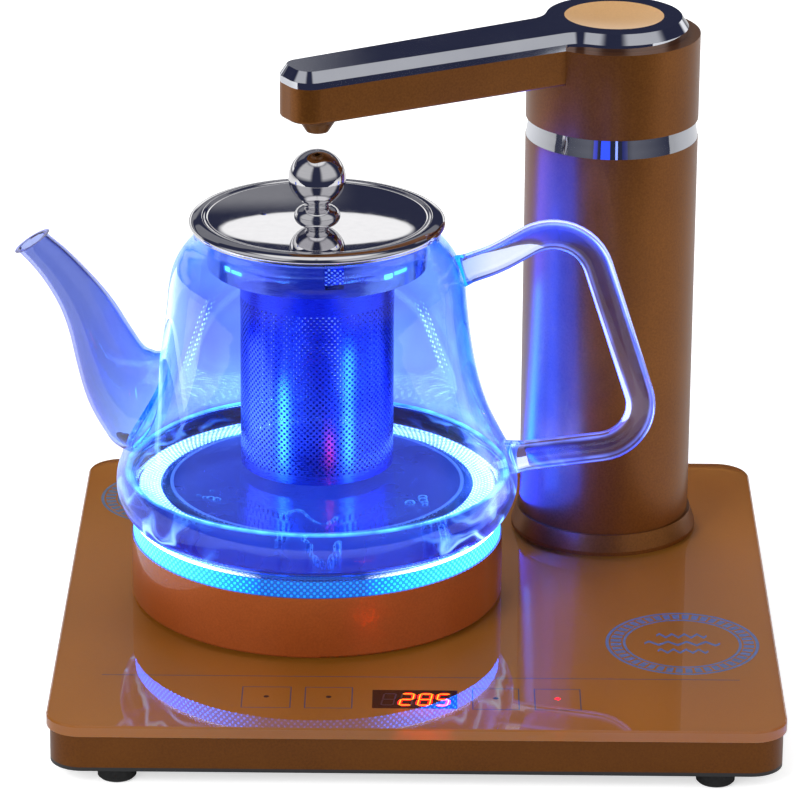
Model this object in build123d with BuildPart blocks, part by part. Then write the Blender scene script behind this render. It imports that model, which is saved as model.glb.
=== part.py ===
"""Automatic tea maker: a heated glass kettle on a glass-topped tray, filled by the arm of a water column.

Frame: millimetres, +Z up, -Y towards the user, origin on the table under the middle of the outline.
"""
import os
from math import cos, radians, sin, tan

from build123d import *

os.makedirs("parts", exist_ok=True)

# ---- Clearances --------------------------------------------------------------------------------
slip_gap = 0.1  # radial, between pieces that stay put
running_gap = 0.06  # radial, between a turning piece and its bearing
rest_gap = 0.5  # under the kettle base and over the coupler cone

# ---- Tray --------------------------------------------------------------------------------------
tray_width = 284.0
tray_depth = 278.0
tray_corner = 14.0
panel_thickness = 4.5
panel_overhang = 1.3
panel_bevel = 0.7
skirt_height = 13.3
skirt_wall = 1.6
deck_thickness = 1.5
cover_thickness = 1.5
foot_height = 6.5
foot_diameter = 15.0
foot_bevel = 0.8
foot_stem = 5.0
foot_stem_grip = 2.0
foot_from_side = 27.0
foot_from_front = 12.0
cover_post = 8.0
post_overlap = 1.0
cover_screw = 3.0
cover_screw_head = 5.6
cover_screw_end = 1.0
board_post = 6.0
board_screw_grip = 4.0
deck_screw_head = 5.5
deck_screw_head_height = 1.8
vent_slot = (30.0, 2.4)
vent_pitch = (45.0, 6.0)
vent_count = (3, 5)
vent_place = 69.5
wall_cut = 5.2

# ---- Touch keys and display, measured from the front edge and the middle of the tray -----------
key_row = 28.5
key_places = (-58.2, -34.2, 30.6, 54.6)
key_pillar = 8.0
display_size = (34.0, 18.0)
display_depth = 7.5
display_middle = -0.7
circuit_board = 1.6
touch_board_margin = 12.0
power_board_size = (76.0, 58.0)
power_board_place = (84.0, -42.0)
power_board_post_inset = 4.0
board_standoff = 2.0
relay_size = (19.0, 15.0, 7.6)
relay_place = (-20.0, 12.0)
supply_size = (28.0, 22.0, 7.0)
supply_place = (16.0, -10.0)

# ---- Kettle base and its coupler ---------------------------------------------------------------
kettle_left = 41.0
base_radius = 75.0
base_height = 25.5
base_wall = 2.0
base_floor = 2.5
base_fillet = 1.2
cone_radius = 24.0
cone_height = 6.0
cone_slope = 28.0
cone_flange = 30.0
cone_flange_thickness = 2.0
contact_rings = ((0.0, 2.0), (5.0, 6.2), (8.6, 9.8))
contact_height = 3.0
contact_drop = 0.2
socket_radius = 30.0
socket_height = 13.5
socket_pin = 0.9
socket_pin_reach = 0.2
socket_pin_tail = 3.0
base_boss = 7.0
base_boss_place = 70.0
base_boss_height = 14.0
base_screw = 2.8
base_screw_head = 5.4
base_screw_length = 10.0
led_board_inner = 60.0
led_count = 24
led_size = (5.0, 5.0, 1.6)
led_circle = 67.0
led_gap = 0.4
light_ring_inner = 64.0
light_ring_lip = 0.8
light_ring_height = 7.0

# ---- Kettle glass ------------------------------------------------------------------------------
glass_wall = 2.2
floor_opening = 60.0
floor_wall = 3.0
side_points = (  # radius, height over the tray glass
    (76.0, 35.6),
    (79.5, 41.0),
    (80.8, 48.0),
    (78.9, 56.0),
    (75.1, 64.0),
    (71.0, 72.5),
    (67.3, 82.0),
    (63.8, 95.0),
    (61.3, 109.0),
    (59.8, 122.0),
    (58.7, 131.5),
    (56.6, 138.7),
    (53.6, 143.6),
    (50.8, 147.0),
    (49.2, 150.2),
)
foot_edge = 73.0
foot_edge_rise = 0.8
neck_radius = 48.8
mouth_height = 154.9
spout_wall = 2.0
spout_sections = (  # reach, height, outer radius, direction of the bore above the horizontal
    (61.0, 66.5, 23.0, 24.0),
    (72.0, 72.5, 22.0, 30.0),
    (78.4, 85.4, 17.0, 48.0),
    (83.9, 99.0, 14.7, 57.0),
    (89.4, 112.9, 12.1, 59.5),
    (99.8, 131.8, 9.0, 58.0),
    (107.6, 142.2, 8.5, 53.0),
    (113.6, 148.4, 8.4, 46.0),
)
handle_route = ((52.0, 134.2), (71.0, 141.3), (104.2, 161.4), (135.5, 64.7), (74.0, 56.2))
handle_bends = (60.0, 19.0, 18.0)
handle_section = (9.0, 12.0)
handle_flare = (9.0, 12.0)

# ---- Heating plate under the glass floor -------------------------------------------------------
plate_thickness = 1.2
plate_rim = 1.2
seal_wall = 1.4
clamp_width = 3.8
clamp_height = 3.5
spreader_radius = 50.0
spreader_thickness = 3.0
element_circle = 38.0
element_radius = 3.2
element_gap = 40.0
terminal_length = 7.0
terminal_radius = 1.6
terminal_turn = 5.0
thermostat_radius = 8.0
thermostat_height = 7.0

# ---- Tea infuser and lid -----------------------------------------------------------------------
sheet = 0.6
collar_radius = 43.4
collar_depth = 15.9
collar_flange = 50.0
collar_slot = (7.5, 9.4)
collar_slot_turn = -80.0
collar_slot_drop = 3.0
basket_radius = 30.6
basket_bottom = 56.0
lid_profile = (  # radius, height over the infuser's flange; underside first, then the top from the rim in
    (40.8, -0.9),
    (42.4, 0.1),
    (43.6, 1.8),
    (49.2, 1.4),
    (49.2, 0.0),
    (50.2, 0.0),
    (50.7, 1.0),
    (50.1, 1.9),
    (47.5, 2.45),
    (44.1, 2.6),
    (42.9, 2.3),
    (41.5, 0.3),
    (40.5, -0.1),
)
steam_hole = 2.5
steam_hole_place = (-24.4, 8.0)
knob_ball = 11.4
knob_height = 19.3
knob_neck = 5.0
knob_foot = (10.4, 4.1)
knob_screw = 4.0
knob_screw_head = 8.0
knob_screw_head_height = 2.2
knob_screw_length = 12.0

# ---- Water column ------------------------------------------------------------------------------
column_right = 77.5
column_back = 71.5
column_radius = 35.2
column_wall = 1.8
nozzle_gap = 7.5  # from the lid's knob to the nozzle over it
flare_radius = 38.4
flare_top_radius = 36.2
flare_height = 8.4
flare_floor = 3.0
flare_edge = 1.6
hub_radius = 29.7
hub_bore = 22.0
column_screw_circle = 25.8
column_screw_grip = 6.0
ring_height = 7.5
ring_top_radius = 33.9
ring_wall = 4.0
ring_edge = 0.1

# ---- Pump --------------------------------------------------------------------------------------
bracket_height = 20.0
bracket_thickness = 3.0
bracket_leg = 6.0
bracket_leg_circle = 28.0
bracket_leg_turns = (90, 210, 330)
pump_radius = 22.0
pump_height = 16.0
pump_wall = 2.5
pump_cover_thickness = 3.0
impeller_radius = 15.0
impeller_height = 8.0
impeller_hub = 4.0
blade_count = 6
impeller_blade = 1.6
impeller_disc = 1.2
impeller_gap = 1.0
shaft_radius = 1.5
shaft_length = 28.0
motor_radius = 14.0
motor_height = 38.0
port_bore = 2.5
port_radius = 3.5
port_length = 14.0
outlet_place = 27.0
outlet_boss = 5.2
outlet_link = 8.0
hose_wall = 1.5
hose_gap = 0.5
hose_grip = 6.0
inlet_bend = 20.0
riser_bend = 24.0
riser_start = 1.0  # over the pump's cover
riser_corners = (53.0, 25.0)  # under the swivel post's flange

# ---- Swivel, head and arm ----------------------------------------------------------------------
post_radius = 10.0
post_flange = 6.0
post_rise = 9.5  # over the head's hub
post_spigot = 15.0
post_shoulder = 4.0
clip_radius = 13.0
clip_thickness = 1.5
clip_depth = 1.0
clip_gap = 0.5
head_gap = 0.5
head_height = 35.5
head_wall = 2.0
head_floor = 2.0
head_ledge = (3.0, 2.0)
head_hub_radius = 17.0
head_hub_height = 14.0
clip_room = 3.0
seal_section = 0.9
seal_drop = 4.0
elbow_flange = 2.0
elbow_radius = 13.0
elbow_height = 18.0
elbow_spigot = 9.0
elbow_gap = 1.0
arm_reach = 137.8
arm_angle = -149.3
arm_end = 14.0
arm_end_corner = 9.0
arm_half_width = 11.7
arm_root_half_width = 14.6
arm_height = 14.4
arm_wall = 2.0
arm_root = 24.0
arm_fillet = 1.2
trim_band = 2.7
trim_chamfer_height = 4.0
trim_chamfer_width = 2.7
trim_disc_radius = 30.3
trim_blend = 10.0
cap_radius = 20.2
cap_depth = 3.0
cap_dish = 1.2
nozzle_top = 7.3
nozzle_tip = 4.4
nozzle_drop = 6.5
nozzle_rim = 2.0
nozzle_stem = 5.0
nozzle_block = 5.5
nozzle_tail = 8.0
arm_screw = 2.6
arm_screw_head = 4.6
arm_screw_head_height = 1.2
arm_screw_grip = 2.0
arm_screw_pilot = 2.5
arm_screw_places = (62.0, 108.0)
arm_screw_offset = 8.0
arm_post = 2.4

# ---- Rear connections --------------------------------------------------------------------------
barb_reach = 12.0
barb_radius = 4.0
barb_flange = 6.0
barb_flange_thickness = 1.5
barb_tail = 12.8
gland_left = 60.0
gland_radius = 5.5
gland_neck = 5.3
gland_neck_depth = 3.2
gland_bore = 3.7
gland_reach = 4.0

# ---- Levels and places that follow from the sizes above ----------------------------------------
skirt_bottom = foot_height + cover_thickness
panel_bottom = skirt_bottom + skirt_height
deck_bottom = panel_bottom - deck_thickness
top = panel_bottom + panel_thickness
spout_reach = spout_sections[-1][0] + spout_sections[-1][2] * sin(radians(spout_sections[-1][3]))
tray_x = (spout_reach + kettle_left - tray_width / 2) / 2
tray_y = -(barb_reach - panel_overhang) / 2
front_edge = tray_y - tray_depth / 2
back_wall = tray_y + tray_depth / 2 - panel_overhang
kettle_x = tray_x - kettle_left
kettle_y = tray_y
column_x = tray_x + column_right
column_y = tray_y + column_back
base_bottom = top + rest_gap
base_top = base_bottom + base_height
glass_bottom = base_top + light_ring_height
floor_top = glass_bottom + floor_wall
plate_top = floor_top
spreader_top = plate_top - plate_thickness
element_level = spreader_top - spreader_thickness - element_radius
mouth = top + mouth_height
flange_top = mouth + sheet
knob_top = flange_top + lid_profile[-1][1] + knob_height + knob_ball
head_bottom = knob_top + nozzle_gap + nozzle_drop + arm_height - head_height
ring_top = head_bottom - head_gap
ring_bottom = ring_top - ring_height
head_top = head_bottom + head_height
arm_bottom = head_top - arm_height
trim_top = head_top + trim_band + trim_chamfer_height
hose_level = arm_bottom + arm_wall + port_radius + hose_wall + slip_gap
column_inner = column_radius - column_wall
base_inner = base_radius - base_wall
hose_radius = port_radius + hose_wall

base_align = (Align.CENTER, Align.CENTER, Align.MIN)
kettle_axis = (kettle_x, kettle_y)
column_axis = (column_x, column_y)


def column(centre, radius, low, high, mode=Mode.ADD):
    """Upright cylinder between two heights."""
    with Locations((centre[0], centre[1], low)):
        Cylinder(radius, high - low, align=base_align, mode=mode)


def ring(centre, outer, inner, low, high):
    """Upright ring between two heights."""
    with BuildSketch(Plane.XY.offset(low)) as section:
        with Locations(centre):
            Circle(outer)
            Circle(inner, mode=Mode.SUBTRACT)
    extrude(section.sketch, amount=high - low)


def slab(centre, size, low, high, mode=Mode.ADD):
    """Upright box between two heights."""
    with Locations((centre[0], centre[1], low)):
        Box(size[0], size[1], high - low, align=base_align, mode=mode)


def turned(centre, outline, mode=Mode.ADD):
    """Solid turned round an upright axis from a closed outline of (radius, height) points."""
    with BuildSketch(Plane((centre[0], centre[1], 0), x_dir=(1, 0, 0), z_dir=(0, -1, 0))) as section:
        Polygon(*outline, align=None)
    revolve(section.sketch, axis=Axis((centre[0], centre[1], 0), (0, 0, 1)), mode=mode)


def export(piece, name):
    """Label a finished piece and write it."""
    piece.part.label = name
    export_step(piece.part, f"parts/{name}.step")


# ---- Tray --------------------------------------------------------------------------------------
frame_width = tray_width - 2 * panel_overhang
frame_depth = tray_depth - 2 * panel_overhang
frame_corner = tray_corner - panel_overhang
foot_places = [
    (tray_x + side * (tray_width / 2 - foot_from_side), tray_y + end * (tray_depth / 2 - foot_from_front))
    for side in (-1, 1)
    for end in (-1, 1)
]
post_inset = skirt_wall + cover_post / 2 - post_overlap
post_places = [
    (
        tray_x + side * (frame_width / 2 - post_inset),
        tray_y + end * (frame_depth / 2 - post_inset - frame_corner / 2),
    )
    for side in (-1, 1)
    for end in (-1, 0, 1)
]
key_points = [(tray_x + place, front_edge + key_row) for place in key_places]
display_point = (tray_x + display_middle, front_edge + key_row)
board_level = panel_bottom - display_depth
board_bottom = board_level - circuit_board
touch_board_size = (
    max(key_places) - min(key_places) + 2 * touch_board_margin,
    display_size[1] + touch_board_margin,
)
touch_board_point = (tray_x + (max(key_places) + min(key_places)) / 2, front_edge + key_row)
board_post_places = [
    (
        touch_board_point[0] + side * (touch_board_size[0] / 2 - board_post / 2),
        touch_board_point[1] + end * (touch_board_size[1] / 2 - board_post / 2),
    )
    for side in (-1, 1)
    for end in (-1, 1)
]

with BuildPart() as glass_panel:
    with BuildSketch(Plane.XY.offset(panel_bottom)):
        with Locations((tray_x, tray_y)):
            RectangleRounded(tray_width, tray_depth, tray_corner)
        with Locations(kettle_axis):
            Circle(cone_radius + slip_gap, mode=Mode.SUBTRACT)
        with Locations(column_axis):
            Circle(hub_radius + slip_gap, mode=Mode.SUBTRACT)
    extrude(amount=panel_thickness)
    rims = glass_panel.faces().sort_by(Axis.Z)[-1].outer_wire().edges()
    chamfer(rims, length=panel_bevel)
export(glass_panel, "glass_panel")

with BuildPart() as tray_frame:
    with BuildSketch(Plane.XY.offset(skirt_bottom)):
        with Locations((tray_x, tray_y)):
            RectangleRounded(frame_width, frame_depth, frame_corner)
            RectangleRounded(
                frame_width - 2 * skirt_wall,
                frame_depth - 2 * skirt_wall,
                frame_corner - skirt_wall,
                mode=Mode.SUBTRACT,
            )
    extrude(amount=skirt_height)
    with BuildSketch(Plane.XY.offset(deck_bottom)):
        with Locations((tray_x, tray_y)):
            RectangleRounded(
                frame_width - skirt_wall,
                frame_depth - skirt_wall,
                frame_corner - skirt_wall / 2,
            )
        with Locations(kettle_axis):
            Circle(cone_radius + slip_gap, mode=Mode.SUBTRACT)
        with Locations(column_axis):
            Circle(hub_bore, mode=Mode.SUBTRACT)
            with PolarLocations(column_screw_circle, 4, start_angle=45):
                Circle(cover_screw / 2 + slip_gap, mode=Mode.SUBTRACT)
        with Locations(*key_points):
            Circle(key_pillar / 2 + slip_gap, mode=Mode.SUBTRACT)
        with Locations(display_point):
            Rectangle(display_size[0] + 2 * slip_gap, display_size[1] + 2 * slip_gap, mode=Mode.SUBTRACT)
    extrude(amount=deck_thickness)
    for place in post_places:
        column(place, cover_post / 2, skirt_bottom, deck_bottom)
        column(place, cover_screw / 2, skirt_bottom, deck_bottom, Mode.SUBTRACT)
    for place in board_post_places:
        column(place, board_post / 2, board_level, deck_bottom)
        column(place, cover_screw / 2, board_level, deck_bottom, Mode.SUBTRACT)
    barb_level = (skirt_bottom + deck_bottom) / 2
    with Locations(Plane((column_x, back_wall, barb_level), z_dir=(0, -1, 0))):
        Cylinder(barb_radius + slip_gap, wall_cut, mode=Mode.SUBTRACT)
    with Locations(Plane((tray_x - gland_left, back_wall, barb_level), z_dir=(0, -1, 0))):
        Cylinder(gland_neck + slip_gap, wall_cut, mode=Mode.SUBTRACT)
export(tray_frame, "tray_frame")

with BuildPart() as bottom_cover:
    with BuildSketch(Plane.XY.offset(foot_height)):
        with Locations((tray_x, tray_y)):
            RectangleRounded(frame_width, frame_depth, frame_corner)
        with Locations(*foot_places):
            Circle(foot_stem / 2 + slip_gap, mode=Mode.SUBTRACT)
        with Locations((tray_x, tray_y - vent_place), (tray_x, tray_y + vent_place)):
            with GridLocations(*vent_pitch, *vent_count):
                SlotOverall(*vent_slot, mode=Mode.SUBTRACT)
    extrude(amount=cover_thickness)
    with Locations(*[(x, y, foot_height) for x, y in post_places]):
        with Locations(Rotation(180, 0, 0)):
            CounterSinkHole(cover_screw / 2 + slip_gap, cover_screw_head / 2 + slip_gap)
export(bottom_cover, "bottom_cover")

with BuildPart() as rubber_feet:
    for place in foot_places:
        column(place, foot_diameter / 2, 0, foot_height)
        column(place, foot_stem / 2, foot_height, skirt_bottom + foot_stem_grip)
    chamfer(rubber_feet.edges().filter_by(GeomType.CIRCLE).group_by(Axis.Z)[0], length=foot_bevel)
export(rubber_feet, "rubber_feet")

with BuildPart() as cover_screws:
    head_depth = (cover_screw_head - cover_screw) / 2
    for place in post_places:
        turned(
            place,
            (
                (0, foot_height),
                (cover_screw_head / 2, foot_height),
                (cover_screw / 2, foot_height + head_depth),
                (cover_screw / 2, deck_bottom - cover_screw_end),
                (0, deck_bottom - cover_screw_end),
            ),
        )
export(cover_screws, "cover_screws")

# ---- Touch keys, display and power supply ------------------------------------------------------
with BuildPart() as touch_board:
    slab(touch_board_point, touch_board_size, board_bottom, board_level)
    for place in board_post_places:
        column(place, cover_screw / 2 + slip_gap, board_bottom, board_level, Mode.SUBTRACT)
export(touch_board, "touch_board")

with BuildPart() as touch_pillars:
    for place in key_points:
        column(place, key_pillar / 2, board_level, panel_bottom)
export(touch_pillars, "touch_pillars")

with BuildPart() as display_module:
    slab(display_point, display_size, board_level, panel_bottom)
export(display_module, "display_module")

power_level = skirt_bottom + board_standoff
power_point = (tray_x + power_board_place[0], tray_y + power_board_place[1])
with BuildPart() as power_board:
    slab(power_point, power_board_size, power_level, power_level + circuit_board)
    for side in (-1, 1):
        for end in (-1, 1):
            corner = (
                power_point[0] + side * (power_board_size[0] / 2 - power_board_post_inset),
                power_point[1] + end * (power_board_size[1] / 2 - power_board_post_inset),
            )
            column(corner, board_post / 2, skirt_bottom, power_level)
export(power_board, "power_board")

component_level = power_level + circuit_board
with BuildPart() as power_components:
    for size, place in ((relay_size, relay_place), (supply_size, supply_place)):
        middle = (power_point[0] + place[0], power_point[1] + place[1])
        slab(middle, size[:2], component_level, component_level + size[2])
export(power_components, "power_components")

# ---- Coupler on the tray -----------------------------------------------------------------------
cone_run = cone_height / tan(radians(cone_slope))
cone_top_radius = cone_radius - cone_run
with BuildPart() as coupler_cone:
    column(kettle_axis, cone_flange, deck_bottom - cone_flange_thickness, deck_bottom)
    column(kettle_axis, cone_radius, deck_bottom, top)
    cone_top = top + cone_height
    turned(kettle_axis, ((0, top), (cone_radius, top), (cone_top_radius, cone_top), (0, cone_top)))
    for inner, outer in contact_rings:
        groove = top + cone_height - contact_height
        with BuildSketch(Plane.XY.offset(groove)) as section:
            with Locations(kettle_axis):
                Circle(outer)
                if inner:
                    Circle(inner, mode=Mode.SUBTRACT)
        extrude(section.sketch, amount=contact_height, mode=Mode.SUBTRACT)
export(coupler_cone, "coupler_cone")

with BuildPart() as coupler_contacts:
    groove = top + cone_height - contact_height
    for inner, outer in contact_rings:
        with BuildSketch(Plane.XY.offset(groove)) as section:
            with Locations(kettle_axis):
                Circle(outer)
                if inner:
                    Circle(inner, mode=Mode.SUBTRACT)
        extrude(section.sketch, amount=contact_height - contact_drop)
export(coupler_contacts, "coupler_contacts")

# ---- Coupler socket in the kettle base ---------------------------------------------------------
ceiling = top + cone_height + rest_gap
pin_places = [(kettle_x + (inner + outer) / 2 * (inner > 0), kettle_y) for inner, outer in contact_rings]
with BuildPart() as coupler_socket:
    column(kettle_axis, socket_radius, base_bottom, base_bottom + socket_height)
    turned(
        kettle_axis,
        ((0, base_bottom), (cone_radius, base_bottom), (cone_top_radius, ceiling), (0, ceiling)),
        Mode.SUBTRACT,
    )
    for place in pin_places:
        column(place, socket_pin, ceiling, base_bottom + socket_height, Mode.SUBTRACT)
export(coupler_socket, "coupler_socket")

with BuildPart() as socket_pins:
    for place in pin_places:
        column(place, socket_pin, ceiling - socket_pin_reach, base_bottom + socket_height + socket_pin_tail)
export(socket_pins, "socket_pins")

# ---- Kettle base -------------------------------------------------------------------------------
boss_low = base_bottom + base_floor
boss_top = boss_low + base_boss_height
led_level = boss_top + circuit_board
with BuildPart() as base_shell:
    ring(kettle_axis, base_radius, base_inner, base_bottom, base_top)
    with Locations((kettle_x, kettle_y, boss_low)):
        with PolarLocations(base_boss_place, 4, start_angle=45):
            Cylinder(base_boss / 2, base_boss_height, align=base_align)
            Cylinder(base_screw / 2, base_boss_height, align=base_align, mode=Mode.SUBTRACT)
    bottom_edge = base_shell.edges().filter_by(GeomType.CIRCLE).group_by(Axis.Z)[0].sort_by(SortBy.RADIUS)[-1]
    fillet(bottom_edge, radius=base_fillet)
export(base_shell, "base_shell")

with BuildPart() as base_bottom_cover:
    ring(kettle_axis, base_inner, socket_radius + rest_gap, base_bottom, boss_low)
    with Locations((kettle_x, kettle_y, base_bottom)):
        with PolarLocations(base_boss_place, 4, start_angle=45):
            with Locations(Rotation(180, 0, 0)):
                CounterSinkHole(base_screw / 2 + slip_gap, base_screw_head / 2 + slip_gap)
export(base_bottom_cover, "base_bottom_cover")

with BuildPart() as base_screws:
    head_depth = (base_screw_head - base_screw) / 2
    for turn in (45, 135, 225, 315):
        place = (
            kettle_x + base_boss_place * cos(radians(turn)),
            kettle_y + base_boss_place * sin(radians(turn)),
        )
        turned(
            place,
            (
                (0, base_bottom),
                (base_screw_head / 2, base_bottom),
                (base_screw / 2, base_bottom + head_depth),
                (base_screw / 2, base_bottom + base_screw_length),
                (0, base_bottom + base_screw_length),
            ),
        )
export(base_screws, "base_screws")

with BuildPart() as led_board:
    ring(kettle_axis, base_inner - slip_gap, led_board_inner, boss_top, led_level)
export(led_board, "led_board")

with BuildPart() as ring_leds:
    with Locations((kettle_x, kettle_y, led_level)):
        with PolarLocations(led_circle, led_count):
            Box(*led_size, align=base_align)
export(ring_leds, "ring_leds")

with BuildPart() as light_ring:
    lens_bottom = led_level + led_size[2] + led_gap
    ring(kettle_axis, base_inner - slip_gap, light_ring_inner, lens_bottom, base_top)
    ring(kettle_axis, base_radius - light_ring_lip, light_ring_inner, base_top, glass_bottom)
export(light_ring, "light_ring")

# ---- Kettle glass, spout and handle ------------------------------------------------------------


def kettle_outline(inset):
    """Half outline of the kettle, moved in by the wall; the floor and the neck stay level."""
    low = glass_bottom if inset == 0 else floor_top
    side = [(kettle_x + radius - inset, top + height) for radius, height in side_points]
    side[0] = (side[0][0], max(side[0][1], low + foot_edge_rise))
    with BuildSketch(Plane.XZ.offset(-kettle_y)) as outline:
        with BuildLine():
            Polyline((kettle_x, mouth), (kettle_x, low), (kettle_x + foot_edge - inset, low), side[0])
            Spline(*side, (kettle_x + neck_radius - inset, mouth))
            Line((kettle_x + neck_radius - inset, mouth), (kettle_x, mouth))
        make_face()
    return outline.sketch


def spout_loft(narrower, first):
    """Tapered spout through its round sections, narrower by the wall for the bore."""
    sections = []
    for reach, height, radius, rise in spout_sections[first:]:
        centre = (kettle_x - reach, kettle_y, top + height)
        aim = (-cos(radians(rise)), 0, sin(radians(rise)))
        with BuildSketch(Plane(centre, x_dir=(0, 1, 0), z_dir=aim)) as section:
            Circle(radius - narrower)
        sections.append(section.sketch)
    return loft(sections)


kettle_turn_axis = Axis((kettle_x, kettle_y, 0), (0, 0, 1))
with BuildPart() as kettle_envelope:
    revolve(kettle_outline(0), axis=kettle_turn_axis)

with BuildPart() as spout_bore:
    spout_loft(spout_wall, 0)

with BuildPart() as kettle_glass:
    add(kettle_envelope.part)
    revolve(kettle_outline(glass_wall), axis=kettle_turn_axis, mode=Mode.SUBTRACT)
    column(kettle_axis, floor_opening, glass_bottom, floor_top, Mode.SUBTRACT)
    add(spout_bore.part, mode=Mode.SUBTRACT)
export(kettle_glass, "kettle_glass")

with BuildPart() as spout:
    spout_loft(0, 0)
    add(kettle_envelope.part, mode=Mode.SUBTRACT)
    add(spout_bore.part, mode=Mode.SUBTRACT)
export(spout, "spout")

handle_points = [(kettle_x + reach, kettle_y, top + height) for reach, height in handle_route]
with BuildPart() as handle:
    with BuildLine():
        bar = FilletPolyline(*handle_points, radius=list(handle_bends))
    with BuildSketch(Plane(bar @ 0, x_dir=(0, 1, 0), z_dir=bar % 0)):
        Ellipse(handle_section[1] / 2, handle_section[0] / 2)
    sweep()
    for place, aim in ((0, bar % 0), (1, -(bar % 1))):
        with BuildSketch(Plane(bar @ place, x_dir=(0, 1, 0), z_dir=aim)) as wide:
            Circle(handle_flare[0])
        with BuildSketch(Plane((bar @ place) + aim * handle_flare[1], x_dir=(0, 1, 0), z_dir=aim)) as slim:
            Ellipse(handle_section[1] / 2, handle_section[0] / 2)
        loft([wide.sketch, slim.sketch])
    add(kettle_envelope.part, mode=Mode.SUBTRACT)
export(handle, "handle")

# ---- Heating plate -----------------------------------------------------------------------------
plate_radius = floor_opening - seal_wall
seal_low = glass_bottom - clamp_height
with BuildPart() as heating_plate:
    column(kettle_axis, plate_radius, spreader_top, plate_top)
    ring(kettle_axis, plate_radius, plate_radius - plate_rim, seal_low, spreader_top)
export(heating_plate, "heating_plate")

with BuildPart() as plate_seal:
    ring(kettle_axis, floor_opening, plate_radius, seal_low, floor_top)
export(plate_seal, "plate_seal")

with BuildPart() as clamp_ring:
    ring(kettle_axis, floor_opening + clamp_width, floor_opening, seal_low, glass_bottom)
export(clamp_ring, "clamp_ring")

with BuildPart() as heat_spreader:
    column(kettle_axis, spreader_radius, spreader_top - spreader_thickness, spreader_top)
export(heat_spreader, "heat_spreader")

with BuildPart() as heating_element:
    start_turn = element_gap / 2
    start = (
        kettle_x + element_circle * cos(radians(start_turn)),
        kettle_y + element_circle * sin(radians(start_turn)),
        element_level,
    )
    aim = (-sin(radians(start_turn)), cos(radians(start_turn)), 0)
    with BuildSketch(Plane(start, z_dir=aim)) as section:
        Circle(element_radius)
    revolve(section.sketch, axis=kettle_turn_axis, revolution_arc=360 - element_gap)
    for side in (-1, 1):
        place = (
            kettle_x + element_circle * cos(radians(side * (start_turn + terminal_turn))),
            kettle_y + element_circle * sin(radians(side * (start_turn + terminal_turn))),
        )
        column(place, terminal_radius, element_level - element_radius - terminal_length, element_level)
export(heating_element, "heating_element")

with BuildPart() as thermostat:
    low = spreader_top - spreader_thickness - thermostat_height
    column(kettle_axis, thermostat_radius, low, spreader_top - spreader_thickness)
export(thermostat, "thermostat")

# ---- Tea infuser -------------------------------------------------------------------------------
collar_bottom = mouth - collar_depth
with BuildPart() as infuser_collar:
    ring(kettle_axis, collar_flange, collar_radius - sheet, mouth, flange_top)
    ring(kettle_axis, collar_radius, collar_radius - sheet, collar_bottom, mouth)
    ring(kettle_axis, collar_radius, basket_radius - sheet, collar_bottom, collar_bottom + sheet)
    slot_middle = mouth - collar_slot_drop - collar_slot[1] / 2
    aim = (cos(radians(collar_slot_turn)), sin(radians(collar_slot_turn)), 0)
    slot_place = (kettle_x, kettle_y, slot_middle)
    with BuildSketch(Plane(slot_place, x_dir=(-aim[1], aim[0], 0), z_dir=aim)) as section:
        Rectangle(*collar_slot)
    extrude(section.sketch, amount=collar_flange, mode=Mode.SUBTRACT)
export(infuser_collar, "infuser_collar")

with BuildPart() as infuser_basket:
    ring(kettle_axis, basket_radius, basket_radius - sheet, top + basket_bottom, collar_bottom)
    column(kettle_axis, basket_radius, top + basket_bottom, top + basket_bottom + sheet)
export(infuser_basket, "infuser_basket")

# ---- Lid ---------------------------------------------------------------------------------------
disc_low = flange_top + lid_profile[0][1]
disc_top = flange_top + lid_profile[-1][1]
with BuildPart() as lid_shell:
    profile = [(radius, flange_top + height) for radius, height in lid_profile]
    turned(kettle_axis, [(0, disc_low), *profile, (0, disc_top)])
    column(kettle_axis, knob_screw / 2 + slip_gap, disc_low, disc_top, Mode.SUBTRACT)
    steam = (kettle_x + steam_hole_place[0], kettle_y + steam_hole_place[1])
    column(steam, steam_hole / 2, disc_low, disc_top, Mode.SUBTRACT)
export(lid_shell, "lid_shell")

with BuildPart() as lid_knob:
    with BuildSketch(Plane.XZ.offset(-kettle_y)):
        with Locations((kettle_x, disc_top + knob_height)):
            Circle(knob_ball)
        with Locations((kettle_x, disc_top + knob_foot[1])):
            Ellipse(*knob_foot)
        with Locations((kettle_x, disc_top)):
            Rectangle(2 * knob_neck, knob_height, align=(Align.CENTER, Align.MIN))
        with Locations((kettle_x, disc_top)):
            Rectangle(2 * knob_ball, 3 * knob_height, align=(Align.MAX, Align.MIN), mode=Mode.SUBTRACT)
    revolve(axis=kettle_turn_axis)
    column(kettle_axis, knob_screw / 2, disc_top, disc_low + knob_screw_length, Mode.SUBTRACT)
export(lid_knob, "lid_knob")

with BuildPart() as lid_screw:
    column(kettle_axis, knob_screw_head / 2, disc_low - knob_screw_head_height, disc_low)
    column(kettle_axis, knob_screw / 2, disc_low, disc_low + knob_screw_length)
export(lid_screw, "lid_screw")

# ---- Water column ------------------------------------------------------------------------------
tube_bottom = top + flare_floor
with BuildPart() as column_flare:
    turned(
        column_axis,
        (
            (hub_bore, panel_bottom),
            (hub_radius, panel_bottom),
            (hub_radius, top),
            (flare_radius, top),
            (flare_radius, top + flare_edge),
            (flare_top_radius, top + flare_height),
            (column_radius, top + flare_height),
            (column_radius, tube_bottom),
            (hub_bore, tube_bottom),
        ),
    )
    with Locations((column_x, column_y, panel_bottom)):
        with PolarLocations(column_screw_circle, 4, start_angle=45):
            Cylinder(cover_screw / 2, column_screw_grip, align=base_align, mode=Mode.SUBTRACT)
export(column_flare, "column_flare")

with BuildPart() as column_tube:
    ring(column_axis, column_radius, column_inner, tube_bottom, ring_bottom)
export(column_tube, "column_tube")

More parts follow.
